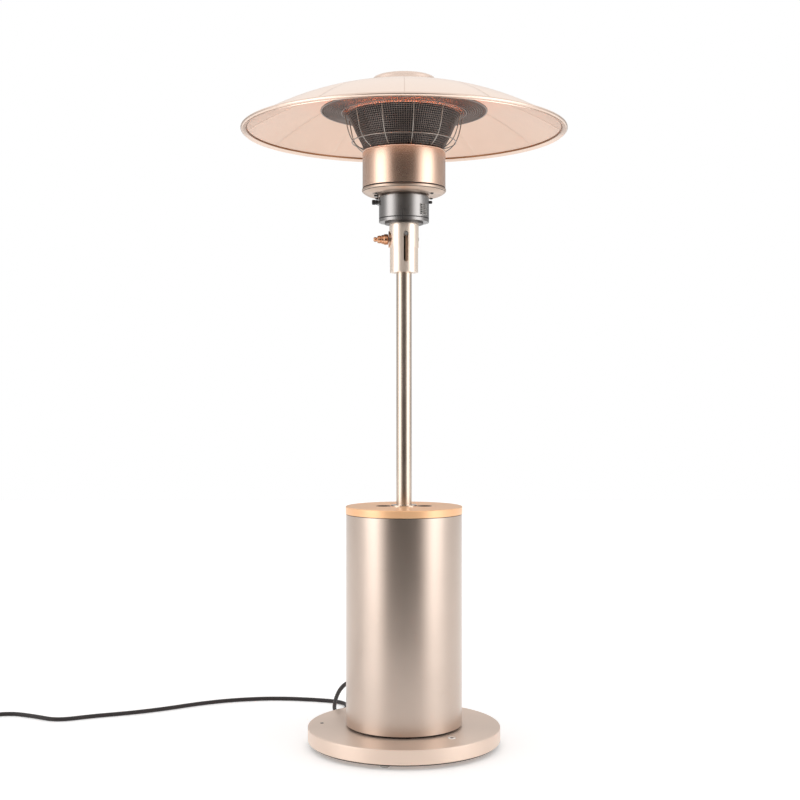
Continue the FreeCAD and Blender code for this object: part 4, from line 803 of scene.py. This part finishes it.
# The pan: a spun dish that closes the canister from below, with a rounded flare, two near-black
# rings of painted shade, at its step and under the canister, and four small screws in its underside.
pan_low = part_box("pan")[0]
pan = drawn_up("spun_pan", [
    (0.0065, 0.0), (0.0480, 0.0), (0.0505, 0.0004), (0.0535, 0.0016), (0.0562, 0.0033),
    (0.0577, 0.0046), (0.0577, 0.0051), (0.0585, 0.0055), (0.0588, 0.0060), (0.0588, 0.0082),
    (0.0584, 0.0087), (0.0566, 0.0090), (0.0566, 0.0096), (0.0550, 0.0096), (0.0525, 0.0038),
    (0.0490, 0.0015), (0.0065, 0.0015), (0.0065, 0.0),
], facets=160, closed=True)
placed(pan, (0, 0, pan_low.z))
pan_satin = satin_metal(
    "champagne_pan", (0.50, 0.38, 0.30), (0.64, 0.50, 0.41), 0.34, (60.0, 60.0, 2600.0),
)
pan.data.materials.append(pan_satin)
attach(pan, "head")
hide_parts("pan")
shade_rings = []
for height, reach in ((0.0046, 0.0574), (0.0088, 0.0575)):
    shade_ring = drawn_up("pan_painted_shade_ring", [
        (reach - 0.0012, 0.0), (reach + 0.0004, 0.0), (reach + 0.0006, 0.0004),
        (reach + 0.0006, 0.0010), (reach + 0.0004, 0.0014), (reach - 0.0012, 0.0014),
        (reach - 0.0012, 0.0),
    ], facets=144, closed=True)
    shade_rings.append(placed(shade_ring, (0, 0, pan_low.z + height)))
shade_ring_set = merged("pan_painted_shade_rings", shade_rings, painted_shade_black)
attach(shade_ring_set, "head")
PAN_SCREW_CIRCLE = 0.0455
pan_screws = []
for azimuth in (-148, -32, 32, 148):
    pan_screw = drawn_up("pan_screw", [
        (0.0008, 0.0010), (0.0008, 0.0002), (0.0013, 0.0), (0.0021, 0.0005), (0.0024, 0.0012),
        (0.0024, 0.0016),
    ], facets=20)
    pan_screws.append(placed(pan_screw, about_mast(PAN_SCREW_CIRCLE, azimuth, pan_low.z - 0.0014)))
pan_screw_set = merged("pan_screws", pan_screws, blackened)
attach(pan_screw_set, "head")


# The canister: a spun wall in rosy satin that covers the terminals, rounded at its top, with a
# rolled lip over a fine groove.
can_low, can_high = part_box("canister")
top = can_high.z - can_low.z
canister = drawn_up("spun_canister", [
    (0.0560, 0.0), (0.0566, 0.0), (0.0566, 0.0007), (0.0578, 0.0010), (0.0580, 0.0016),
    (0.0580, top - 0.0030), (0.0576, top - 0.0026),
    (0.0576, top - 0.0022), (0.0585, top - 0.0018), (0.0588, top - 0.0012), (0.0585, top - 0.0005),
    (0.0576, top), (0.0568, top - 0.0001), (0.0560, top - 0.0006), (0.0560, 0.0),
], facets=160, closed=True)
placed(canister, (0, 0, can_low.z))
rosy = satin_metal(
    "rosy_canister", (0.72, 0.500, 0.385), (0.77, 0.545, 0.425), 0.25, (60.0, 60.0, 2600.0),
    marks=0.01, brushed=0.45, metallic=0.92,
)
canister.data.materials.append(rosy)
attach(canister, "head")
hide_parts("canister")


# The heater itself: a steel plate, a ceramic base and sockets, and an open quartz ring with a
# glowing coil in it.
clad(zinc, "element_plate")
ceramic, ceramic_shader, spot = finish("unglazed_ceramic", {"Roughness": 0.8})
fired = spot.node("ShaderNodeTexNoise", {"Vector": spot, "Scale": 260.0, "Detail": 6.0})
drive(ceramic_shader, {
    "Base Color": between(fired, (0.62, 0.57, 0.50, 1), (0.80, 0.76, 0.69, 1)),
    "Normal": fired.node("ShaderNodeBump", {"Height": fired, "Strength": 0.3, "Distance": 0.0003}),
})
clad(ceramic, "ceramic_base", "element_sockets")
hot, hot_shader, spot = finish("glowing_coil_in_quartz", {
    "Roughness": 0.12, "Emission Strength": 45.0, "Coat Weight": 0.5, "Coat Roughness": 0.05,
})
axes = spot.node("ShaderNodeSeparateXYZ", {0: spot})
COIL_LOOPS = 170
azimuth = axes.maths("ARCTAN2", axes.part(1), axes.part(0))
loops = (azimuth * COIL_LOOPS).maths("SINE", azimuth * COIL_LOOPS) * 0.5 + 0.5
drive(hot_shader, {
    "Base Color": between(loops, (0.30, 0.12, 0.06, 1), (0.85, 0.45, 0.25, 1)),
    "Emission Color": between(loops, (0.75, 0.10, 0.015, 1), (1.0, 0.30, 0.06, 1)),
})
clad(hot, "heating_element")


# The bowl: black heat-proof wire mesh, spun to a waisted bowl that turns out to a wide flat brim,
# with a wire hoop at its edge and a thin near-black sheet inside it as painted shade. Each opening is
# about 3 mm square.
mesh_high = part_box("emitter_mesh")[1]
seat = can_high.z


def smooth_line(points, spacing):
    """Points evenly spaced along a smooth curve through the given (radius, height) points."""
    curve = bpy.data.curves.new("bowl_line", "CURVE")
    run = curve.splines.new("BEZIER")
    run.bezier_points.add(len(points) - 1)
    for point, (radius, height) in zip(run.bezier_points, points):
        point.co = (radius, 0, height)
        point.handle_left_type = point.handle_right_type = "AUTO"
    curve.resolution_u = 24
    holder = bpy.data.objects.new("bowl_line", curve)
    path = [vertex.co.copy() for vertex in bpy.data.meshes.new_from_object(holder).vertices]
    bpy.data.objects.remove(holder)
    lengths = [0.0]
    for before, after in zip(path, path[1:]):
        lengths.append(lengths[-1] + (after - before).length)
    count = round(lengths[-1] / spacing)
    found, k = [], 0
    for i in range(count + 1):
        wanted = lengths[-1] * i / count
        while k < len(path) - 2 and lengths[k + 1] < wanted:
            k += 1
        share = (wanted - lengths[k]) / max(lengths[k + 1] - lengths[k], 1e-9)
        place = path[k].lerp(path[k + 1], min(share, 1.0))
        found.append((place.x, place.z))
    return found


def wire_section(radius, height, half_width, half_height, sides):
    """The outline of a hoop: an oval section at a radius and a height."""
    section = []
    for step in range(sides + 1):
        turn = 2 * math.pi * step / sides
        section.append((radius + half_width * math.sin(turn), height + half_height * math.cos(turn)))
    return section


OPENING, WEAVE_WIRE = 0.0030, 0.0012
bowl_rows = smooth_line([
    (0.0544, seat), (0.0590, seat + 0.0112), (0.0656, seat + 0.0236), (0.0708, seat + 0.0354),
    (0.0764, seat + 0.0466), (0.0815, seat + 0.0515), (0.0870, seat + 0.0532),
], OPENING)
brim_rows = smooth_line([
    (0.0870, seat + 0.0532), (0.0960, seat + 0.0545), (0.1060, seat + 0.0556), (0.1152, seat + 0.0562),
], OPENING)
bowl = as_wires(open_tube("woven_bowl", bowl_rows, 144), WEAVE_WIRE)
brim = as_wires(open_tube("woven_brim", brim_rows, 216), WEAVE_WIRE)
bowl_shade_sheet = open_tube("bowl_painted_shade", [(radius - 0.0022, height) for radius, height in bowl_rows[:-2]], 144)
thickened(bowl_shade_sheet, 0.0004, 1)
HOOP = 0.0013
hoop = drawn_up("brim_hoop", wire_section(0.1156, 0, HOOP, HOOP, 16), facets=144, closed=True)
placed(hoop, (0, 0, mesh_high.z - HOOP))
fold_section = wire_section(0.0872, seat + 0.0533, 0.0009, 0.0007, 12)
fold = drawn_up("bowl_fold", fold_section, facets=144, closed=True)
wire_black = satin_metal(
    "heat_proof_wire", (0.14, 0.112, 0.103), (0.33, 0.280, 0.255), 0.30, (900.0, 900.0, 900.0),
)
bowl_shade_sheet.data.materials.append(painted_shade_black)
for piece in (bowl, brim, hoop, fold):
    piece.data.materials.append(wire_black)
for piece in (bowl, brim, hoop, fold, bowl_shade_sheet):
    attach(piece, "head")
    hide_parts("emitter_mesh")


# The guard: bent steel wires and one hoop, spot welded, round the bowl's waist. Drawn wire with a
# dull shine.
guard_wire = satin_metal(
    "drawn_wire", (0.26, 0.23, 0.21), (0.42, 0.375, 0.34), 0.28, (900.0, 900.0, 900.0), marks=0.1,
)
clad(guard_wire, "wire_guard")


# The dome: twelve pale rose panels with rolled seams between them, on three posts with screws
# under the cap. Its rim is hemmed inwards, with a rolled bead round the edge.
dome_low, dome_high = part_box("dome")
DOME_RIM, DOME_WALL = 0.2248, 0.0012
rise = dome_high.z - dome_low.z
ball = (DOME_RIM ** 2 + rise ** 2) / (2 * rise)


def dome_ring(radius, inset):
    """A ring of the dome at a distance from the mast's axis and below its outer face."""
    return (radius, dome_high.z - ball + math.sqrt((ball - inset) ** 2 - radius ** 2))


RINGS = 18
SEAM_END = DOME_RIM - 0.0066
radii = [0.004] + [DOME_RIM * (i + 1) / RINGS for i in range(RINGS - 1)] + [SEAM_END, DOME_RIM]
inside = [dome_ring(min(radius, DOME_RIM - 0.0001), DOME_WALL) for radius in radii]
outside = [dome_ring(radius, 0) for radius in reversed(radii)]
dome = drawn_up("panelled_dome", inside + outside, facets=144)
SEAMS = 12
PANEL = 360 / SEAMS


def off_seam(azimuth):
    """How far a direction is from the nearest seam, in degrees."""
    return abs((azimuth + PANEL / 2) % PANEL - PANEL / 2)


pick(dome, lambda reach, azimuth, z: False)
bpy.ops.object.mode_set(mode="OBJECT")
for edge in dome.data.edges:
    ends = [dome.data.vertices[i].co for i in edge.vertices]
    reach = [math.hypot(end.x, end.y) for end in ends]
    astray = [off_seam(math.degrees(math.atan2(end.y, end.x))) for end in ends]
    on_seam = min(reach) > 0.04 and max(reach) < SEAM_END + 0.0003 and max(astray) < 0.1
    edge.select = on_seam and abs(reach[0] - reach[1]) > 0.003
bpy.context.tool_settings.mesh_select_mode = (False, True, False)
bpy.ops.object.mode_set(mode="EDIT")
bpy.ops.mesh.bevel(offset=0.0007, segments=2, affect="EDGES")
bpy.ops.object.mode_set(mode="OBJECT")
pick(dome, lambda reach, azimuth, z: 0.045 < reach < SEAM_END - 0.001 and off_seam(azimuth) < 0.02)
bpy.ops.transform.shrink_fatten(value=-0.0003)
bpy.ops.object.mode_set(mode="OBJECT")

rose, rose_shader, spot = finish("pale_rose_satin", {"Metallic": 1.0, "Roughness": 0.30})
axes = spot.node("ShaderNodeSeparateXYZ", {0: spot})
azimuth = axes.maths("ARCTAN2", axes.part(1), axes.part(0))
flat = spot.node("ShaderNodeCombineXYZ", {0: axes.part(0), 1: axes.part(1)})
reach = flat.node("ShaderNodeVectorMath", {0: flat}, output=1, operation="LENGTH")
panel = azimuth.maths("PINGPONG", azimuth, math.pi / SEAMS)
beside_seam = panel.maths("MULTIPLY", panel, reach)
seam_line = beside_seam.node("ShaderNodeMapRange", {
    "Value": beside_seam, "From Min": 0.0002, "From Max": 0.0009, "To Min": 1.0, "To Max": 0.0,
})
haze = spot.node("ShaderNodeTexNoise", {"Vector": spot, "Scale": 9.0, "Detail": 4.0})
rolled = spot.node("ShaderNodeTexNoise", {"Vector": spot, "Scale": 1500.0, "Detail": 2.0})
tint = between(haze, (0.90, 0.725, 0.615, 1), (0.95, 0.790, 0.680, 1))
drive(rose_shader, {
    "Base Color": tint.node("ShaderNodeMix", {
        0: seam_line * 0.40, 6: tint, 7: (0.45, 0.25, 0.16, 1),
    }, output=2, data_type="RGBA"),
    "Roughness": haze * 0.12 + 0.24,
    "Normal": rolled.node("ShaderNodeBump", {"Height": rolled, "Strength": 0.06, "Distance": 0.0001}),
})
dome.data.materials.append(rose)
# Painted shade: the dome's underside gets a darker, less metallic copy of the rose finish, as the shade
# under the dome.
rose_underside_shaded = satin_metal(
    "rose_underside_painted_shade", (0.74, 0.540, 0.430), (0.80, 0.600, 0.485), 0.36, (30.0, 30.0, 30.0),
    marks=0.06, metallic=0.7,
)
dome.data.materials.append(rose_underside_shaded)
for face in dome.data.polygons:
    if face.normal.z < -0.2:
        face.material_index = 1
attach(dome, "head")
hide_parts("dome")

hem_rows = [dome_ring(DOME_RIM - reach_in, inset) for reach_in, inset in (
    (0.0002, 0.0018), (0.0002, 0.0026), (0.0044, 0.0026), (0.0048, 0.0022), (0.0044, 0.0018),
    (0.0002, 0.0018),
)]
hem = drawn_up("rim_hem", hem_rows, facets=192, closed=True)
# Painted shade: a thin ring inside the hem, copper in tone and darkened as the shade in the gap between
# the hem and the dome.
line_rows = [dome_ring(DOME_RIM - reach_in, inset) for reach_in, inset in (
    (0.0050, 0.0013), (0.0050, 0.0024), (0.0058, 0.0026), (0.0064, 0.0020), (0.0064, 0.0013),
    (0.0050, 0.0013),
)]
hem_shade_line = drawn_up("rim_hem_shade_line", line_rows, facets=192, closed=True)
copper_and_shade_hem = satin_metal(
    "copper_hem_and_painted_shade", (0.21, 0.09, 0.04), (0.29, 0.135, 0.065), 0.30, (400.0, 400.0, 2600.0),
)
bead_metal = satin_metal(
    "bright_rose_bead", (0.78, 0.615, 0.515), (0.86, 0.690, 0.585), 0.30, (200.0, 200.0, 900.0),
    marks=0.02,
)
hem.data.materials.append(bead_metal)
hem_shade_line.data.materials.append(copper_and_shade_hem)
for piece in (hem, hem_shade_line):
    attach(piece, "head")

clad(bead_metal, "rim_bead")
clad(zinc, "dome_posts", "dome_screws")


# The cap: a shallow spun cover in a rosier satin than the dome's, with a rounded edge and a rolled
# foot that sits on the dome.
cap_low, cap_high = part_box("top_cap")
cap_rise = cap_high.z - cap_low.z
cap = drawn_up("spun_cap", [
    (0.0040, cap_rise - 0.0012), (0.0385, cap_rise - 0.0012), (0.0415, cap_rise - 0.0020),
    (0.0431, cap_rise - 0.0044), (0.0438, 0.0004), (0.0441, 0.0), (0.0449, 0.0003), (0.0450, 0.0012),
    (0.0446, 0.0020), (0.0444, cap_rise - 0.0042), (0.0440, cap_rise - 0.0026),
    (0.0430, cap_rise - 0.0012), (0.0412, cap_rise - 0.0004), (0.0385, cap_rise),
    (0.0200, cap_rise), (0.0040, cap_rise),
], facets=128)
placed(cap, (0, 0, cap_low.z))
cap_rose = satin_metal(
    "rose_cap", (0.74, 0.58, 0.49), (0.84, 0.675, 0.58), 0.22, (300.0, 300.0, 2600.0),
)
cap.data.materials.append(cap_rose)
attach(cap, "head")
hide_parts("top_cap")
